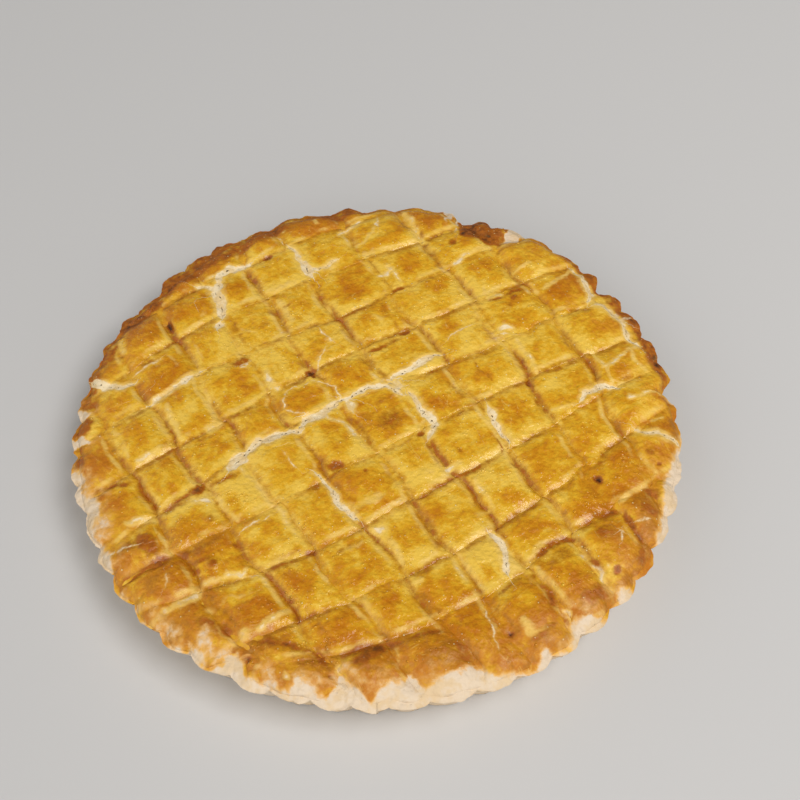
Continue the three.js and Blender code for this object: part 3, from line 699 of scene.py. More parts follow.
def bakeLines(field, u, v, wobbleU, wobbleV):  # pale lines stand up a little, grooves are sunken
    for points, width, strength in marks["paleLines"]:
        here = placesNear(points, width + 3, u, v)
        if width < baking["threadWidth"] or not len(here):
            continue
        side, share = alongLine(points, u[here] + wobbleU[here], v[here] + wobbleV[here])
        fall = bell(side / (0.5 * width + 0.35)) * (0.8 + 0.35 * softNoise(u[here], v[here], 4, 46))
        raiseTo(field["bare"], here, strength * fall)
        field["lift"][here] += baking["lineRise"] * strength * fall
    for points, width, strength in marks["grooves"]:
        here = placesNear(points, width + 3, u, v)
        if not len(here):
            continue
        side, share = alongLine(points, u[here] + 0.8 * wobbleU[here], v[here] + 0.8 * wobbleV[here])
        ends = 0.5 + 0.5 * smooth(5 * np.minimum(share, 1 - share))
        fall = bell(side / (0.5 * width + 0.2)) * ends * (0.9 + 0.4 * softNoise(u[here], v[here], 6, 47))
        # a groove's brown is partly painted shade
        raiseTo(field["toast"], here, baking["grooveBrownAndShade"] * strength * fall)
        field["lift"][here] -= baking["grooveSink"] * strength * fall


def bakePatches(field, u, v):
    for here, share, strength, lift in eachPatch("spots", 51, u, v):
        raiseTo(field["toast"], here, strength * share)
        field["lift"][here] += lift * share
    for here, share, tone, toast in eachPatch("patches", 151, u, v):
        field["tone"][here] += baking["patchTone"] * tone * share
        raiseTo(field["toast"], here, toast * share)
    for here, share, height in eachPatch("domes", 251, u, v):
        field["lift"][here] += baking["domeRise"] * height * share ** 0.7


def glazeEndAt(angle, x, y):
    angle = angle + 0.7 * softNoise(x, y, 3.2, 33) + 0.3 * softNoise(x, y, 1.5, 34)
    ends = [aroundRim(rim["glaze"], angle + shift) for shift in (-0.7, 0, 0.7)]
    return sum(ends) / 3 + 1.0 * softNoise(x, y, 3.5, 67) + 0.5 * softNoise(x, y, 1.4, 69)


def bakeRim(field, u, v):  # the toasted edge, and the dough past the end of the glaze
    x, y = pieOf(u, v)
    angle, radius = polarOf(x, y)
    start = aroundRim(rim["toastFrom"], angle) + 1.2 * softNoise(x, y, 5, 66)
    edgeShare = smooth((radius - start) / 4)
    uneven = 1 + 0.4 * roughNoise(x, y, 7, 68) + 0.3 * softNoise(x, y, 1.8, 70)
    edgeToast = aroundRim(rim["toast"], angle) * uneven
    glazeEnd = glazeEndAt(angle, x, y)
    beyond = smooth((radius - glazeEnd) / 5 + 0.5)
    nearEnd = smooth((radius - glazeEnd + 12) / 9) * smooth((radius - 104) / 8)
    nearEnd = nearEnd * aroundRim(rim["peach"], angle) * np.clip(0.5 + 1.0 * roughNoise(x, y, 6, 35), 0, 1)
    field["tone"] += 0.2 * bell((radius - glazeEnd + 3) / 2.5) * (radius > 112)
    field["beyond"] = np.maximum(beyond, 0.5 * nearEnd)
    field["bare"] = field["bare"] * (1 - beyond)
    raiseTo(field["toast"], slice(None), edgeToast * edgeShare)
    field["toast"] = field["toast"] * (1 - 0.9 * beyond) * (1 - 0.3 * nearEnd)
    matt = edgeShare * smooth(edgeToast * 1.5) * smooth((radius - 115) / 4)
    field["matt"] = np.maximum(matt, 0.7 * smooth((radius - 104) / 14))


def bakedFields(u, v):  # what baking did, at places in the lay frame
    shape = u.shape
    u, v = u.ravel(), v.ravel()
    field = {name: np.zeros(u.shape) for name in ("tone", "toast", "bare", "lift", "crackGap")}
    field["crackSide"] = np.full(u.shape, 20.0)
    field["crackHalf"] = np.full(u.shape, -1.0)
    wobbleU = 1.0 * softNoise(u, v, 5, 41) + 0.5 * softNoise(u, v, 2, 43)
    wobbleV = 1.0 * softNoise(u, v, 5, 42) + 0.5 * softNoise(u, v, 2, 44)
    bakeCracks(field, u, v, wobbleU, wobbleV)
    bakeLines(field, u, v, wobbleU, wobbleV)
    bakePatches(field, u, v)
    bakeRim(field, u, v)
    return {name: values.reshape(shape) for name, values in field.items()}


def makePiece(name, points, faces, fields, material, replaced):
    mesh = bpy.data.meshes.new(name)
    mesh.from_pydata((np.asarray(points) * mm).tolist(), [], faces)
    for field, values in fields.items():
        values = np.asarray(values, float)
        isVector = values.ndim == 2
        attribute = mesh.attributes.new(field, "FLOAT_VECTOR" if isVector else "FLOAT", "POINT")
        attribute.data.foreach_set("vector" if isVector else "value", values.ravel())
    mesh.polygons.foreach_set("use_smooth", [True] * len(mesh.polygons))
    mesh.materials.append(material)
    mesh.update()
    piece = bpy.data.objects.new(name, mesh)
    bpy.context.scene.collection.objects.link(piece)
    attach(piece, "root")
    if replaced:
        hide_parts(*replaced)
    return piece


def addNode(tree, kind, inputs=None, **settings):
    node = tree.nodes.new(kind)
    for key, value in settings.items():
        setattr(node, key, value)
    for key, value in (inputs or {}).items():
        if isinstance(value, bpy.types.NodeSocket):
            tree.links.new(value, node.inputs[key])
        else:
            node.inputs[key].default_value = value
    return node


def mathNode(tree, operation, a, b=0.0):
    return addNode(tree, "ShaderNodeMath", {0: a, 1: b}, operation=operation).outputs[0]


def times(tree, a, b):
    return mathNode(tree, "MULTIPLY", a, b)


def plus(tree, *values):
    result = values[0]
    for value in values[1:]:
        result = mathNode(tree, "ADD", result, value)
    return result


def most(tree, a, b):
    return mathNode(tree, "MAXIMUM", a, b)


def smoothRange(tree, value, low, high, least=0.0, greatest=1.0):  # from least at low to greatest at high
    inputs = {"Value": value, "From Min": low, "From Max": high, "To Min": least, "To Max": greatest}
    return addNode(tree, "ShaderNodeMapRange", inputs, interpolation_type="SMOOTHSTEP").outputs["Result"]


def mixColour(tree, share, a, b):
    return addNode(tree, "ShaderNodeMix", {0: share, 6: a, 7: b}, data_type="RGBA").outputs[2]


def colourRamp(tree, value, stops):  # stops are places and names of colours, the lowest first
    ramp = addNode(tree, "ShaderNodeValToRGB", {"Fac": value})
    elements = ramp.color_ramp.elements
    for element, (place, name) in zip(elements, (stops[0], stops[-1])):
        element.position = place
        element.color = crust[name]
    for place, name in stops[1:-1]:
        elements.new(place).color = crust[name]
    return ramp.outputs["Color"]


def readField(tree, name, output="Fac"):
    return addNode(tree, "ShaderNodeAttribute", attribute_name=name).outputs[output]


def noiseFrom(tree, vector, scale, detail=3.0, roughness=0.6, distortion=0.0):  # from -0.5 to 0.5
    noise = addNode(tree, "ShaderNodeTexNoise", {
        "Vector": vector, "Scale": scale, "Detail": detail, "Roughness": roughness, "Distortion": distortion})
    return mathNode(tree, "SUBTRACT", noise.outputs["Fac"], 0.5)


def newGroup(name, inputs):
    group = bpy.data.node_groups.new(name, "ShaderNodeTree")
    for label, kind in inputs.items():
        group.interface.new_socket(label, in_out="INPUT", socket_type=kind)
    return group, group.nodes.new("NodeGroupInput").outputs


def giveOut(group, results):
    for label in results:
        group.interface.new_socket(label, in_out="OUTPUT", socket_type="NodeSocketFloat")
    sockets = group.nodes.new("NodeGroupOutput").inputs
    for label, value in results.items():
        group.links.new(value, sockets[label])


def mottleGroup():  # uneven baking: broad clouds, fine mottling, streaks along the dough and tiny specks, which are also painted into the colour as glints
    group, given = newGroup("bakedMottle", {"Vector": "NodeSocketVector", "Grain": "NodeSocketVector"})
    place = given["Vector"]
    stretched = addNode(group, "ShaderNodeVectorMath", {
        0: given["Grain"], 1: (0.10, 0.42, 1.0)}, operation="MULTIPLY").outputs[0]
    cells = addNode(group, "ShaderNodeTexVoronoi", {"Vector": place, "Scale": 0.42, "Randomness": 1.0})
    chosen = smoothRange(group, cells.outputs["Color"], 0.55, 0.61)
    dot = smoothRange(group, cells.outputs["Distance"], 0.17, 0.09)
    crowd = smoothRange(group, noiseFrom(group, place, 0.09, 2.0), -0.12, 0.12)
    ridges = mathNode(group, "ABSOLUTE", noiseFrom(group, stretched, 0.55, 2.0, 0.5, 0.8))
    hairline = smoothRange(group, ridges, 0.014, 0.003)
    sparse = smoothRange(group, noiseFrom(group, place, 0.16, 1.0), 0.04, 0.14)
    giveOut(group, {
        "Clouds": noiseFrom(group, place, 0.11, 2.0, 0.5),
        "Mottle": noiseFrom(group, place, 0.33, 2.5, 0.5, 0.4),
        "Streaks": noiseFrom(group, stretched, 0.55, 2.5, 0.5, 0.6),
        "Fine": noiseFrom(group, place, 1.2, 2.0, 0.5),
        "Ripple": noiseFrom(group, place, 0.5, 1.5, 0.4),
        "Dots": times(group, times(group, dot, chosen), crowd),
        "Hairlines": times(group, hairline, sparse),
    })
    return group


def crackGroup():  # a split in the crust: pale inside, with small dark openings along its middle
    group, given = newGroup("crackInside", {
        "Side": "NodeSocketFloat", "Half": "NodeSocketFloat", "Vector": "NodeSocketVector"})
    place, side = given["Vector"], given["Side"]
    ragged = times(group, noiseFrom(group, place, 0.8, 4.0, 0.7), 1.5)
    away = plus(group, mathNode(group, "ABSOLUTE", side), ragged)
    past = mathNode(group, "SUBTRACT", away, given["Half"])
    bend = times(group, noiseFrom(group, place, 0.45, 2.0), 2.2)
    middle = mathNode(group, "ABSOLUTE", plus(group, side, bend))
    opening = times(group, noiseFrom(group, place, 0.6, 3.0, 0.7), 2.6)
    gap = smoothRange(group, mathNode(group, "SUBTRACT", middle, opening), 0.0, -0.25)
    giveOut(group, {
        "Inside": smoothRange(group, past, 0.4, -0.4),
        "Gap": times(group, gap, smoothRange(group, past, -0.2, -0.6)),
    })
    return group


def millimetres(tree):  # object coordinates in millimetres
    place = addNode(tree, "ShaderNodeTexCoord").outputs["Object"]
    return addNode(tree, "ShaderNodeVectorMath", {0: place, 3: 1 / mm}, operation="SCALE").outputs[0]


def newMaterial(name):
    material = bpy.data.materials.new(name)
    material.use_nodes = True
    tree = material.node_tree
    return material, tree, tree.nodes["Principled BSDF"]


crust = {
    "yellow": (0.77, 0.50, 0.070, 1),
    "golden": (0.675, 0.372, 0.019, 1),
    "amber": (0.58, 0.256, 0.009, 1),
    "copper": (0.465, 0.155, 0.006, 1),
    "butter": (0.77, 0.515, 0.12, 1),
    "dough": (0.80, 0.66, 0.42, 1),
    "doughShade": (0.72, 0.53, 0.26, 1),
    "shellDough": (0.68, 0.55, 0.40, 1),
    "shellShade": (0.66, 0.495, 0.30, 1),
    "peach": (0.73, 0.42, 0.12, 1),
    "creaseBrown": (0.375, 0.148, 0.008, 1),
    "brown": (0.39, 0.115, 0.007, 1),
    "darkBrown": (0.25, 0.073, 0.007, 1),
    "burnt": (0.05, 0.015, 0.005, 1),
    "gap": (0.16, 0.10, 0.05, 1),
    # pale specks painted into the glaze: highlights on tiny bubbles, partly their pale tops
    "paleBubbleAndGlint": (0.86, 0.72, 0.38, 1),
}
glaze = {
    "tones": [(0.05, "yellow"), (0.35, "golden"), (0.62, "amber"), (0.95, "copper")],
    "browns": [(0.12, "copper"), (0.3, "creaseBrown"), (0.46, "brown"), (0.7, "darkBrown"), (0.97, "burnt")],
    "tint": {"Clouds": 1.0, "Mottle": 0.8, "Streaks": 0.55, "Fine": 0.42},  # what varies its tone
    "grain": {"Streaks": 0.55, "Fine": 0.3, "Ripple": 1.4, "Dots": 0.4},  # and its fine relief
    "gapDepth": 0.8,
    "specular": 0.28,
    "coat": 0.3,
    "coatRoughness": 0.13,
    "coatIor": 1.45,
}
mottled = mottleGroup()
cracked = crackGroup()


def bakedMaterial(name, glazeRoughness, bumpDepth):
    material, tree, surface = newMaterial(name)
    place = millimetres(tree)
    mottle = addNode(tree, "ShaderNodeGroup", {
        "Vector": place, "Grain": readField(tree, "grain", "Vector")}, node_tree=mottled).outputs
    crack = addNode(tree, "ShaderNodeGroup", {
        "Side": readField(tree, "crackSide"), "Half": readField(tree, "crackHalf"), "Vector": place},
        node_tree=cracked).outputs

    def varied(value, **amounts):  # a value with some of the mottle's outputs added
        return plus(tree, value, *(times(tree, mottle[name], amount) for name, amount in amounts.items()))

    # glaze, from pale yellow to copper
    tone = varied(readField(tree, "tone"), **glaze["tint"])
    colour = colourRamp(tree, tone, glaze["tones"])

    # paler where the glaze is thin, bare dough where there is none
    bare = varied(readField(tree, "bare"), Mottle=0.6, Fine=0.3, Streaks=0.3)
    thin = smoothRange(tree, bare, 0.1, 0.6)
    none = smoothRange(tree, bare, 0.6, 0.95)
    colour = mixColour(tree, times(tree, thin, 0.8), colour, crust["butter"])
    shade = smoothRange(tree, plus(tree, mottle["Mottle"], mottle["Clouds"]), -0.2, 0.15)
    dough = mixColour(tree, shade, crust["doughShade"], crust["dough"])
    colour = mixColour(tree, none, colour, dough)
    colour = mixColour(tree, times(tree, mottle["Hairlines"], 0.4), colour, crust["butter"])

    # toasted places, darker towards their middle; the toast also carries the painted shade of the grooves and
    # of the hollows between strips
    toast = times(tree, readField(tree, "toast"), varied(1.0, Mottle=1.4, Fine=0.5))
    toast = varied(toast, Mottle=0.12)
    browns = colourRamp(tree, times(tree, toast, 0.62), glaze["browns"])
    colour = mixColour(tree, smoothRange(tree, toast, 0.0, 0.75), colour, browns)

    # past the end of the glaze
    past = varied(readField(tree, "beyond"), Mottle=0.7, Fine=0.3)
    colour = mixColour(tree, times(tree, smoothRange(tree, past, 0.05, 0.5), 0.75), colour, crust["peach"])
    beyond = smoothRange(tree, past, 0.3, 0.85)
    colour = mixColour(tree, beyond, colour, mixColour(tree, shade, crust["shellShade"], crust["shellDough"]))

    # cracks, and painted glints: pale specks in the colour stand in for highlights on tiny bubbles, partly
    # the bubbles' pale tops
    opening = times(tree, crack["Gap"], readField(tree, "crackGap"))
    inside = mixColour(tree, opening, dough, crust["gap"])
    faint = most(tree, readField(tree, "crackGap"), smoothRange(tree, mottle["Mottle"], -0.25, 0.15))
    colour = mixColour(tree, times(tree, crack["Inside"], faint), colour, inside)
    bareAll = most(tree, most(tree, none, beyond), crack["Inside"])
    bubbleAndGlintDots = times(tree, mottle["Dots"], mathNode(tree, "SUBTRACT", 1.0, bareAll))
    colour = mixColour(tree, times(tree, bubbleAndGlintDots, 0.75), colour, crust["paleBubbleAndGlint"])
    tree.links.new(colour, surface.inputs["Base Color"])

    matt = most(tree, bareAll, readField(tree, "matt"))
    roughness = varied(glazeRoughness, Mottle=0.3)
    roughness = plus(tree, roughness, times(tree, matt, 0.45), times(tree, thin, 0.2))
    tree.links.new(roughness, surface.inputs["Roughness"])
    coat = plus(tree, glaze["coat"], times(tree, matt, -glaze["coat"]))
    tree.links.new(coat, surface.inputs["Coat Weight"])
    surface.inputs["Specular IOR Level"].default_value = glaze["specular"]
    surface.inputs["Coat Roughness"].default_value = glaze["coatRoughness"]
    surface.inputs["Coat IOR"].default_value = glaze["coatIor"]

    # fine relief: folds along the dough, small pimples, and the gap in a crack
    height = varied(times(tree, opening, -glaze["gapDepth"]), **glaze["grain"])
    bump = addNode(tree, "ShaderNodeBump", {"Height": height, "Strength": 1.0, "Distance": bumpDepth * mm})
    tree.links.new(bump.outputs["Normal"], surface.inputs["Normal"])
    return material


lidMaterial = bakedMaterial("glazedLid", 0.21, 0.45)
shellMaterial = bakedMaterial("shortcrustShell", 0.42, 0.4)
print("materials ready")


strip = {
    "grid": 0.72,  # spacing of the mesh
    "lanes": 37,
    "underStep": 4,  # the hidden underside is this much coarser
    "rimTaper": 3.4,  # the last bit rounds down
    "rimDrop": 1.15,  # by this
    "thinning": 8,  # and the strip grows thinner over this length
    "rimThickness": 0.8,
}
relief = {
    "creaseDepth": 0.72,
    "sideWidth": 4.1,  # a strip's cut sides are rounded over this width
    "diveWidth": 5.0,  # and it slopes down over this length before it goes under
    "dive": 1.2,
    "pillow": 0.5,
    "uneven": (0.3, 0.4),  # how much chance changes a pillow's rise and tilts it
    "lump": 0.3,  # uneven dough, about a centimetre across
    "bump": 0.16,
    "pimple": 0.07,
    "fold": 0.12,  # low folds along a strip
}
creaseShadeAndBrowning = {  # brown on each side of a crossing, partly browned glaze and partly painted shade, strongest on the back and left sides that face away from the lamp: strength and width
    "back": (1.0, 2.4),
    "left": (1.05, 2.5),
    "front": (0.75, 1.2),
    "right": (0.85, 1.4),
}
paleMarginsAndHighlight = {"front": 2.2, "right": 2.3}  # pale lines, this far in from two of the sides: partly thin glaze and bare dough, partly a painted highlight on the front and right edges that face the lamp
marginWidth = 2.3
# by chance, one of each for a crossing: its rise, its two tilts and its tone
chance = np.random.default_rng(82).uniform(-1, 1, (4, 400))


def lidReachAt(angle):
    reach = aroundRim(rim["lidReach"], angle) + 0.6 * softNoise(angle, 0 * angle, 3, 71)
    return np.minimum(reach + 0.8 * (fluteWave(angle) - 0.6), rimRadiusAt(angle) - 0.8)


def beyondLid(u, v):
    angle, radius = polarOf(*pieOf(u, v))
    return radius > lidReachAt(angle)


def bisect(test, inner, outer, rounds=24):  # where a test turns from false to true
    inner, outer = np.array(inner, float), np.array(outer, float)
    for _ in range(rounds):
        middle = (inner + outer) / 2
        isBeyond = test(middle)
        outer = np.where(isBeyond, middle, outer)
        inner = np.where(isBeyond, inner, middle)
    return inner


def stationsBetween(starts, ends):  # the same on every lane, except near the lid's edge
    evened = np.array([1, 2, 3, 4, 3, 2, 1]) / 16
    firsts, lasts = [np.convolve(np.pad(line, 3, mode="edge"), evened, "valid") for line in (starts, ends)]
    low, high = firsts.max() + 5, lasts.min() - 5
    count = [int(span / strip["grid"]) for span in (low - firsts.min(), high - low, lasts.max() - high)]
    return np.concatenate([
        mix(firsts[None], low, np.linspace(0, 1, count[0], endpoint=False)[:, None]),
        np.linspace(low, high, count[1])[:, None] + 0 * firsts[None],
        mix(high, lasts[None], np.linspace(0, 1, count[2] + 1)[1:, None]),
    ])


def stripPlan(isAcross, index):  # a grid of places: stations along the strip, lanes across it
    kind = "across" if isAcross else "down"
    pastRim = 138

    def edgeAt(number, run):
        side = edgeLine(weave[kind][number], run)
        return cutEdges(kind, run, side)[number] if isAcross else cutEdges(kind, side, run)[number]

    def isBeyond(run, side):
        return beyondLid(run, side) if isAcross else beyondLid(side, run)

    width = np.linspace(0, 1, strip["lanes"])
    if index not in (0, stripCount - 1):
        def sideAt(run, share):
            return mix(edgeAt(index, run), edgeAt(index + 1, run), share)

        ends = [bisect(lambda run: isBeyond(run, sideAt(run, width)), 0 * width, 0 * width + far)
                for far in (-pastRim, pastRim)]
        run = stationsBetween(*ends)
        side = sideAt(run, width[None])
    else:
        inner = index + 1 if index == 0 else index
        towards = 1 if isAcross == (index == 0) else -1  # which way the rim lies from the inner edge
        ends = [bisect(lambda run: isBeyond(run, edgeAt(inner, run)), 0.0, far)
                for far in (-pastRim, pastRim)]
        count = int((ends[1] - ends[0]) / strip["grid"])
        run = mix(ends[0], ends[1], 0.5 - 0.5 * np.cos(np.pi * np.linspace(0.004, 0.996, count)))
        near = edgeAt(inner, run)
        far = bisect(lambda side: isBeyond(run, side), near, near * 0 + towards * pastRim)
        side = mix(near[:, None], far[:, None], (width if index else 1 - width)[None])
        run = np.repeat(run[:, None], strip["lanes"], 1)
    return (run, side) if isAcross else (side, run)


def cellDistances(isAcross, index, u, v):  # how far a place is from the edges of its crossing
    across, down = cutEdges("across", u, v), cutEdges("down", u, v)
    row = np.full(u.shape, index) if isAcross else stripAt(across, v, False)[0]
    column = stripAt(down, u, True)[0] if isAcross else np.full(u.shape, index)
    far = 60.0  # there is no edge at the rim
    cell = {
        "back": np.where(row == 0, far, pick(across, row) - v),
        "front": np.where(row == stripCount - 1, far, v - pick(across, row + 1)),
        "left": np.where(column == 0, far, u - pick(down, column)),
        "right": np.where(column == stripCount - 1, far, pick(down, column + 1) - u),
        "onTop": ((row + column) % 2 == 0) == isAcross,
        "number": row * 13 + column * 7,
    }
    pairs = [(cell["back"], cell["front"]), (cell["left"], cell["right"])]
    own, other = pairs if isAcross else pairs[::-1]
    reach = np.minimum(*other)
    cell["edge"] = np.clip(np.minimum(*own), 0, 99)  # to the strip's own sides
    cell["reach"] = np.where(cell["onTop"], np.maximum(reach, 0), -np.abs(reach))  # to where it dives
    cell["tilts"] = [np.clip((a - b) / 24, -1, 1) for a, b in (own, other)]
    cell["vigour"] = np.clip(0.85 + 0.95 * softNoise(u, v, 17, 81), 0.15, 1.6)
    return cell


def stripLift(isAcross, cell, u, v, radius):
    edge, reach, number = cell["edge"], cell["reach"], cell["number"]
    outer = smooth((radius - 86) / 18)
    depth = relief["creaseDepth"] * cell["vigour"] * (1 + 0.5 * outer)
    fallSide = np.clip(1 - edge / relief["sideWidth"], 0, 1) ** 2
    fallEnd = np.clip(1 - reach / relief["diveWidth"], 0, 1) ** 2
    dive = relief["dive"] * smooth((-reach - 0.4) / 2.6)
    deepSide, deepEnd = (0.85, 1.4) if isAcross else (1.4, 0.85)  # the down strips are cut deeper
    lift = -np.maximum((depth * deepSide + 0.16) * fallSide, (depth * deepEnd - 0.14) * fallEnd + dive)
    tilt = chance[1][number] * cell["tilts"][0] + chance[2][number] * cell["tilts"][1]
    riseChange, tiltChange = relief["uneven"]
    rise = relief["pillow"] * (1 + 0.9 * outer) + riseChange * chance[0][number] + tiltChange * tilt
    lift = lift + np.where(cell["onTop"], smooth(edge / 9) * smooth(reach / 9) * rise, 0)
    lift = lift + relief["lump"] * roughNoise(u, v, 9, 83) + relief["bump"] * roughNoise(u, v, 4.2, 86, 2)
    lift = lift + relief["pimple"] * roughNoise(u, v, 2.6, 84, 2)
    stretched = (u * 0.3, v) if isAcross else (u, v * 0.3)
    folds = roughNoise(*stretched, 4, 85, 2) * smooth(np.minimum(edge, np.abs(reach)) / 3)
    return lift + relief["fold"] * folds


def stripFields(cell, u, v, x, y, radius):  # baking, with brown along the edges of each crossing that is partly painted shade, and pale lines along the front and right edges that are partly a painted highlight
    fields = bakedFields(u, v)
    creaseShadeAndBrown = np.max([strength * bell(cell[side] / width) for side, (strength, width) in creaseShadeAndBrowning.items()], 0)
    shade = np.clip(0.8 + 0.5 * roughNoise(u, v, 13, 62, 2), 0.3, 1.1) * np.clip(cell["vigour"], 0.65, 1.15)
    fromLines = np.min([np.abs(cell[side] - away) for side, away in paleMarginsAndHighlight.items()], 0)
    paleMarginAndHighlight = smooth(1 - fromLines / marginWidth)
    paleMarginAndHighlight = paleMarginAndHighlight * np.clip(0.32 + 0.65 * roughNoise(u, v, 9, 65, 2), 0, 0.7)
    middle = smooth(np.min([cell[side] for side in creaseShadeAndBrowning], 0) / 8)
    tone = 0.16 + 0.16 * chance[3][cell["number"]] + 0.22 * middle + 0.24 * smooth((radius - 75) / 45)
    tone = tone + 0.28 * roughNoise(u, v, 26, 63) + 0.24 * roughNoise(u, v, 8, 64)
    tone = tone + 0.11 * np.clip((0.3 * x - y - 10) / 90, 0.05, 1)  # darker towards the front
    fields["tone"] = np.minimum(fields["tone"] + tone, 0.85)
    # the brown in the hollows between strips is browned glaze and painted shade
    fields["toast"] = np.maximum(fields["toast"], 0.6 * creaseShadeAndBrown * shade * (1 - smooth(fields["bare"] * 1.6)))
    # the pale edge lines join the bare dough, painted highlight included
    fields["bare"] = np.maximum(fields["bare"], paleMarginAndHighlight)
    return fields


def stripLevels(isAcross, index, u, v):
    x, y = pieOf(u, v)
    angle, radius = polarOf(x, y)
    cell = cellDistances(isAcross, index, u, v)
    fields = stripFields(cell, u, v, x, y, radius)
    toRim = np.clip(lidReachAt(angle) - radius, 0, 99)
    taper = np.clip(1 - toRim / strip["rimTaper"], 0, 1)
    top = shoulderLevel(x, y) + stripLift(isAcross, cell, u, v, radius) * smooth(toRim / 7 + 0.35)
    top = top + fields.pop("lift") - strip["rimDrop"] * (1 - np.sqrt(1 - 0.98 * taper ** 2))
    bottom = top - mix(strip["rimThickness"], pie["thickness"], smooth(toRim / strip["thinning"]))
    run, side, kind = (u, v, "across") if isAcross else (v, u, "down")
    ofStrip = np.full(u.shape, index * 9.0 + isAcross * 4.0)
    fields["grain"] = np.stack([run, side - edgeLine(weave[kind][index], run), ofStrip], -1)
    return top, bottom, fields, cell["onTop"] & (np.minimum(cell["edge"], cell["reach"]) > 1.5)


def ringFaces(count, ring):  # quads round a tube of rings
    a = np.arange(count - 1)[:, None] * ring
    j = np.arange(ring)[None]
    k = (j + 1) % ring
    return np.stack([a + j, a + k, a + ring + k, a + ring + j], -1).reshape(-1, 4).tolist()


topPoints = []  # of all strips, for the blisters to stand on


def makeStrip(isAcross, index):
    u, v = stripPlan(isAcross, index)
    top, bottom, fields, isVisible = stripLevels(isAcross, index, u, v)
    x, y = pieOf(u, v)
    count, lanes = u.shape
    step = strip["underStep"]
    under = np.arange(0, lanes, step)[::-1]

    def roundTube(upper, lower):
        return np.concatenate([upper, lower[:, under]], 1)

    points = np.stack([roundTube(x, x), roundTube(y, y), roundTube(top, bottom)], -1).reshape(-1, 3)
    ring = lanes + len(under)
    faces = ringFaces(count, ring)
    for station in (0, count - 1):  # the ends, in pieces that are flat enough
        base = station * ring
        for part in range(len(under) - 1):
            upper = [base + lane for lane in range(part * step, part * step + step + 1)]
            cap = upper + [base + ring - 2 - part, base + ring - 1 - part]
            faces.append(cap if station else cap[::-1])
    packed = {}
    for name, values in fields.items():
        values = roundTube(values, values)
        packed[name] = values.reshape(-1, 3) if values.ndim == 3 else values.ravel()
    name = f"strip_{'across' if isAcross else 'down'}_{index + 1}"
    makePiece(name + "_crust", points, faces, packed, lidMaterial, [name])
    chosen = [x, y, top] + [fields[name] for name in ("tone", "toast", "bare", "crackHalf", "beyond")]
    topPoints.append(np.stack(chosen, -1)[isVisible])


for number in range(stripCount):
    makeStrip(True, number)
    makeStrip(False, number)


shell = {
    "steps": 1200,
    "shoulderRings": 30,
    "wallRings": 22,
    "innerRadius": 104.0,
    "seatLevel": 22.0,
    "underLid": 0.95,  # the shoulder lies this far below the lid's skin
    "layer": 0.9,  # height of a flaky layer
}


def shellPoints():  # rings from under the lid, over the shoulder and down the wall
    angle = np.linspace(0, 360, shell["steps"], endpoint=False)[:, None]
    widest = rimRadiusAt(angle)
    shoulder = np.linspace(0, 1, shell["shoulderRings"])[None]
    radius = mix(rim["shoulderStart"], widest, np.sin(np.radians(90 * shoulder)))
    sunken = shell["underLid"] * (1 - 0.6 * smooth((shoulder - 0.75) / 0.25))
    level = np.maximum(shoulderLevel(*fromPolar(angle, radius)) - sunken, pie["widestLevel"])
    wallShare = np.linspace(0, 1, shell["wallRings"])[None, 1:]
    radius = np.concatenate([radius, widest - pie["baseLean"] * wallShare ** 0.8], 1)
    level = np.concatenate([level, pie["widestLevel"] * (1 - wallShare) + 0 * angle], 1)
    arc = angle * math.radians(1) * pie["tipRadius"] + 0 * radius
    flaky = aroundRim(rim["flaky"], angle)
    onWall = smooth((pie["widestLevel"] + 2 - level) / 3)
    lumps = 0.5 * roughNoise(arc, level * 1.6, 9, 91) + 0.2 * roughNoise(arc, level, 2.6, 92, 2)
    layerPlace = level + 0.6 * softNoise(arc, 0 * arc, 18, 93) + 0.35 * (radius - 125)
    layers = roughNoise(arc * 0.25, layerPlace, shell["layer"], 94, 2)
    push = (lumps + 0.5 * layers * mix(0.4, 1.5, flaky)) * smooth(level / 1.2)
    radius = radius + push * mix(0.3, 1.0, smooth((radius - 116) / 8))
    raised = (0.35 * roughNoise(arc, radius, 4, 95) + 0.5 * layers * flaky) * smooth((level - 1) / 4)
    level = level + raised * (1 - onWall * 0.7)
    level[:, -1] = 0
    seat = np.stack([*fromPolar(angle, shell["innerRadius"] + 0 * angle), 0 * angle + shell["seatLevel"]], -1)
    return np.concatenate([seat, np.stack([*fromPolar(angle, radius), level], -1)], 1)


def shellFields(x, y, z):
    fields = bakedFields(*layOf(x, y))
    angle, radius = polarOf(x, y)
    arc = np.radians(angle % 360) * pie["tipRadius"]
    low = smooth((z - aroundRim(rim["toastDown"], angle) + 1.5 * softNoise(arc, 0 * arc, 5, 96)) / 3)
    layers = roughNoise(arc * 0.25, z + 0.35 * (radius - 125), shell["layer"], 94, 2)
    flaky = aroundRim(rim["flaky"], angle)
    fields["toast"] = fields["toast"] * low + 0.25 * flaky * layers * low
    fields["beyond"] = np.maximum(fields["beyond"], smooth((20 - z) / 3))
    fields["bare"] = fields["bare"] + 0.5 * flaky * np.clip(layers, 0, 1)
    fields["tone"] = fields["tone"] + 0.5 + 0.2 * roughNoise(arc, z, 8, 98)
    fields["matt"] = np.maximum(fields["matt"], 0.7)
    fields["grain"] = np.stack([arc, z * 1.5 + radius, 0 * z], -1)
    del fields["lift"]
    return fields


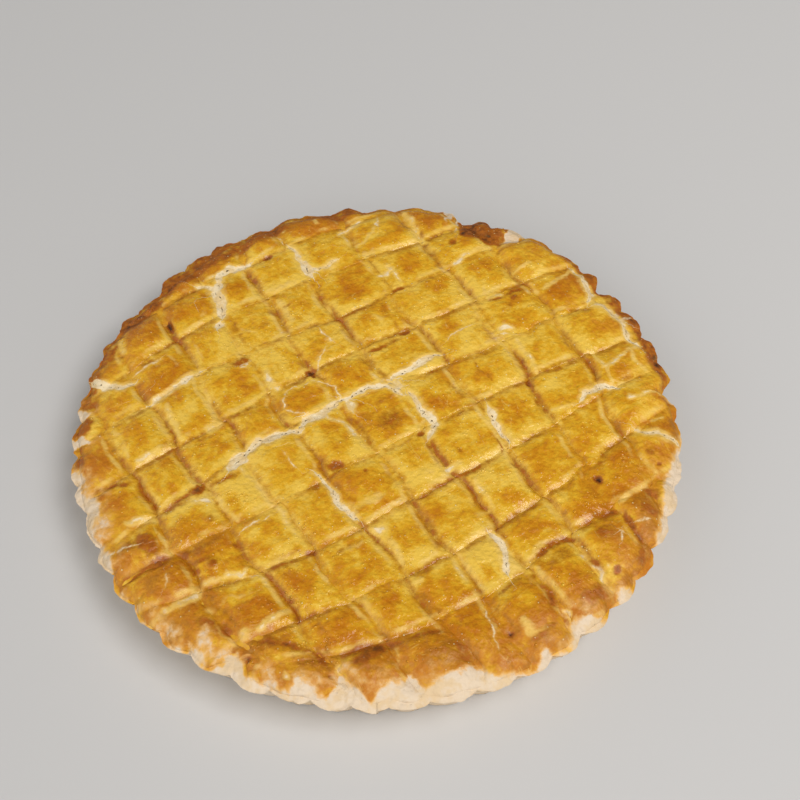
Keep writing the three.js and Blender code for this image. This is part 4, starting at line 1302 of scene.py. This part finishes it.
def makeShell():
    points = shellPoints()
    count, ring = points.shape[:2]
    middles = [[0, 0, shell["seatLevel"]], [0, 0, 0]]
    faces = []
    for i in range(count):
        a, b = i * ring, (i + 1) % count * ring
        faces.extend([a + k, a + k + 1, b + k + 1, b + k] for k in range(ring - 1))
        faces.append([count * ring, a, b])
        faces.append([count * ring + 1, b + ring - 1, a + ring - 1])
    packed = {}
    for name, values in shellFields(*np.moveaxis(points, -1, 0)).items():
        values = values.reshape(-1, 3) if values.ndim == 3 else values.ravel()
        packed[name] = np.concatenate([values, np.zeros((2,) + values.shape[1:])])
    flat = points.reshape(-1, 3).tolist() + middles
    makePiece("shell_crust", flat, faces, packed, shellMaterial, ["shell"])


makeShell()
print("shell ready")


blister = {
    "count": 2600,
    "smallest": 0.26,
    "spread": 0.5,
    "sunken": 0.1,
    "rings": 2,
    "segments": 7,
    "crowds": [(254, 110, 6), (8, 74, 4), (51, 113, 5), (310, 42, 4)],  # angle, radius, reach
}


def blisterPlaces(rng):  # by chance on the glaze, more in some places than in others
    x, y, z, tone, toast, bare, crackHalf, beyond = np.concatenate(topPoints).T
    isGlazed = (bare < 0.4) & (crackHalf < 0) & (beyond < 0.05)
    places = np.stack([x, y, z, tone, toast], -1)[isGlazed]
    x, y = x[isGlazed], y[isGlazed]
    crowd = softNoise(x, y, 14, 72) + 0.6 * softNoise(x, y, 5, 73)
    for angle, radius, reach in blister["crowds"]:
        middleX, middleY = fromPolar(angle, radius)
        crowd = np.maximum(crowd, 2.2 * bell(np.hypot(x - middleX, y - middleY) / reach))
    likely = np.clip(crowd, 0.03, 1)
    return places[rng.choice(len(places), blister["count"], False, likely / likely.sum())]


def domeMesh(x, y, z, size, tall, base):  # rings of points, a tip and a flat underside
    rings, segments = blister["rings"], blister["segments"]
    points, faces = [], []
    for ring in range(rings):
        turn = math.pi / 2 * ring / rings
        out = size * math.cos(turn)
        for segment in range(segments):
            around = 2 * math.pi * segment / segments
            points.append([x + out * math.cos(around), y + out * math.sin(around), z + tall * math.sin(turn)])
    points.append([x, y, z + tall])
    last = base + (rings - 1) * segments
    for segment in range(segments):
        after = (segment + 1) % segments
        for low in range(base, last, segments):
            high = low + segments
            faces.append([low + segment, low + after, high + after, high + segment])
        faces.append([last + segment, last + after, base + rings * segments])
    faces.append([base + segment for segment in range(segments)][::-1])
    return points, faces


def makeBlisters():  # small domes in the glaze
    rng = np.random.default_rng(7)
    names = ("tone", "toast", "bare", "beyond", "crackSide", "crackHalf", "crackGap", "matt", "grain")
    fields = {name: [] for name in names}
    points, faces = [], []
    for x, y, z, tone, toast in blisterPlaces(rng):
        size = blister["smallest"] + blister["spread"] * rng.random() ** 3
        tall = size * (0.4 + 0.2 * rng.random())
        added, between = domeMesh(x, y, z - blister["sunken"], size, tall, len(points))
        points += added
        faces += between
        values = {"tone": tone - 0.1, "toast": toast, "crackSide": 20, "crackHalf": -1, "grain": [x, y, 0.0]}
        for name, column in fields.items():
            column += [values.get(name, 0.0)] * len(added)
    makePiece("glaze_blisters", points, faces, fields, lidMaterial, [])


makeBlisters()
print("blisters ready")


studio = {
    "floorHalf": 3,
    "floorLevel": -0.0002,
    "floorColour": (0.55, 0.55, 0.55, 1),
    "skyColour": (1.0, 0.98, 0.955, 1),
    "frontSky": (0.15, -0.75, 0.08, 1.05),  # from here to there, from this strength to that
    "leftSky": (-0.1, -0.8, 0.0, 0.55),
}
keyLight = {"place": (0.85, -0.5, 1.65), "size": 1.0, "power": 24, "colour": (1.0, 0.97, 0.94)}
camera = {"place": (0.0101, -0.3112, 0.4657), "lens": 56.25, "tilt": 36.09, "roll": -0.975}


def makeFloor():
    half, level = studio["floorHalf"], studio["floorLevel"]
    mesh = bpy.data.meshes.new("floor")
    corners = [(x * half, y * half, level) for x, y in ((-1, -1), (1, -1), (1, 1), (-1, 1))]
    mesh.from_pydata(corners, [], [(0, 1, 2, 3)])
    floor = bpy.data.objects.new("floor", mesh)
    bpy.context.scene.collection.objects.link(floor)
    material, tree, surface = newMaterial("paleFloor")
    surface.inputs["Base Color"].default_value = studio["floorColour"]
    surface.inputs["Roughness"].default_value = 0.7
    mesh.materials.append(material)


def makeLight():  # a soft lamp to the right, aimed at the pie
    data = bpy.data.lights.new("key", "AREA")
    data.size = keyLight["size"]
    data.energy = keyLight["power"]
    data.color = keyLight["colour"]
    lamp = bpy.data.objects.new("key", data)
    lamp.location = keyLight["place"]
    lamp.rotation_euler = (-Vector(keyLight["place"])).to_track_quat("-Z", "Y").to_euler()
    bpy.context.scene.collection.objects.link(lamp)


def makeCamera():
    data = bpy.data.cameras.new("camera")
    data.lens = camera["lens"]
    data.sensor_width = 36
    data.clip_start = 0.01
    data.clip_end = 20
    view = bpy.data.objects.new("camera", data)
    tilt = Matrix.Rotation(math.radians(camera["tilt"]), 4, "X")
    roll = Matrix.Rotation(math.radians(camera["roll"]), 4, "Z")
    view.matrix_world = Matrix.Translation(camera["place"]) @ tilt @ roll
    bpy.context.scene.collection.objects.link(view)
    bpy.context.scene.camera = view


def makeWorld():  # a room that is bright in front of the pie and to its left, and dim behind it
    world = bpy.data.worlds.new("studio")
    bpy.context.scene.world = world
    world.use_nodes = True
    tree = world.node_tree
    place = addNode(tree, "ShaderNodeTexCoord").outputs["Generated"]
    towards = addNode(tree, "ShaderNodeSeparateXYZ", {"Vector": place}).outputs
    backdrop = tree.nodes["Background"]
    backdrop.inputs["Color"].default_value = studio["skyColour"]
    strength = plus(tree, smoothRange(tree, towards["Y"], *studio["frontSky"]),
                    smoothRange(tree, towards["X"], *studio["leftSky"]))
    tree.links.new(strength, backdrop.inputs["Strength"])


makeFloor()
makeCamera()
makeLight()
makeWorld()
bpy.context.scene.view_settings.view_transform = "Standard"
print("floor, lights and camera ready")
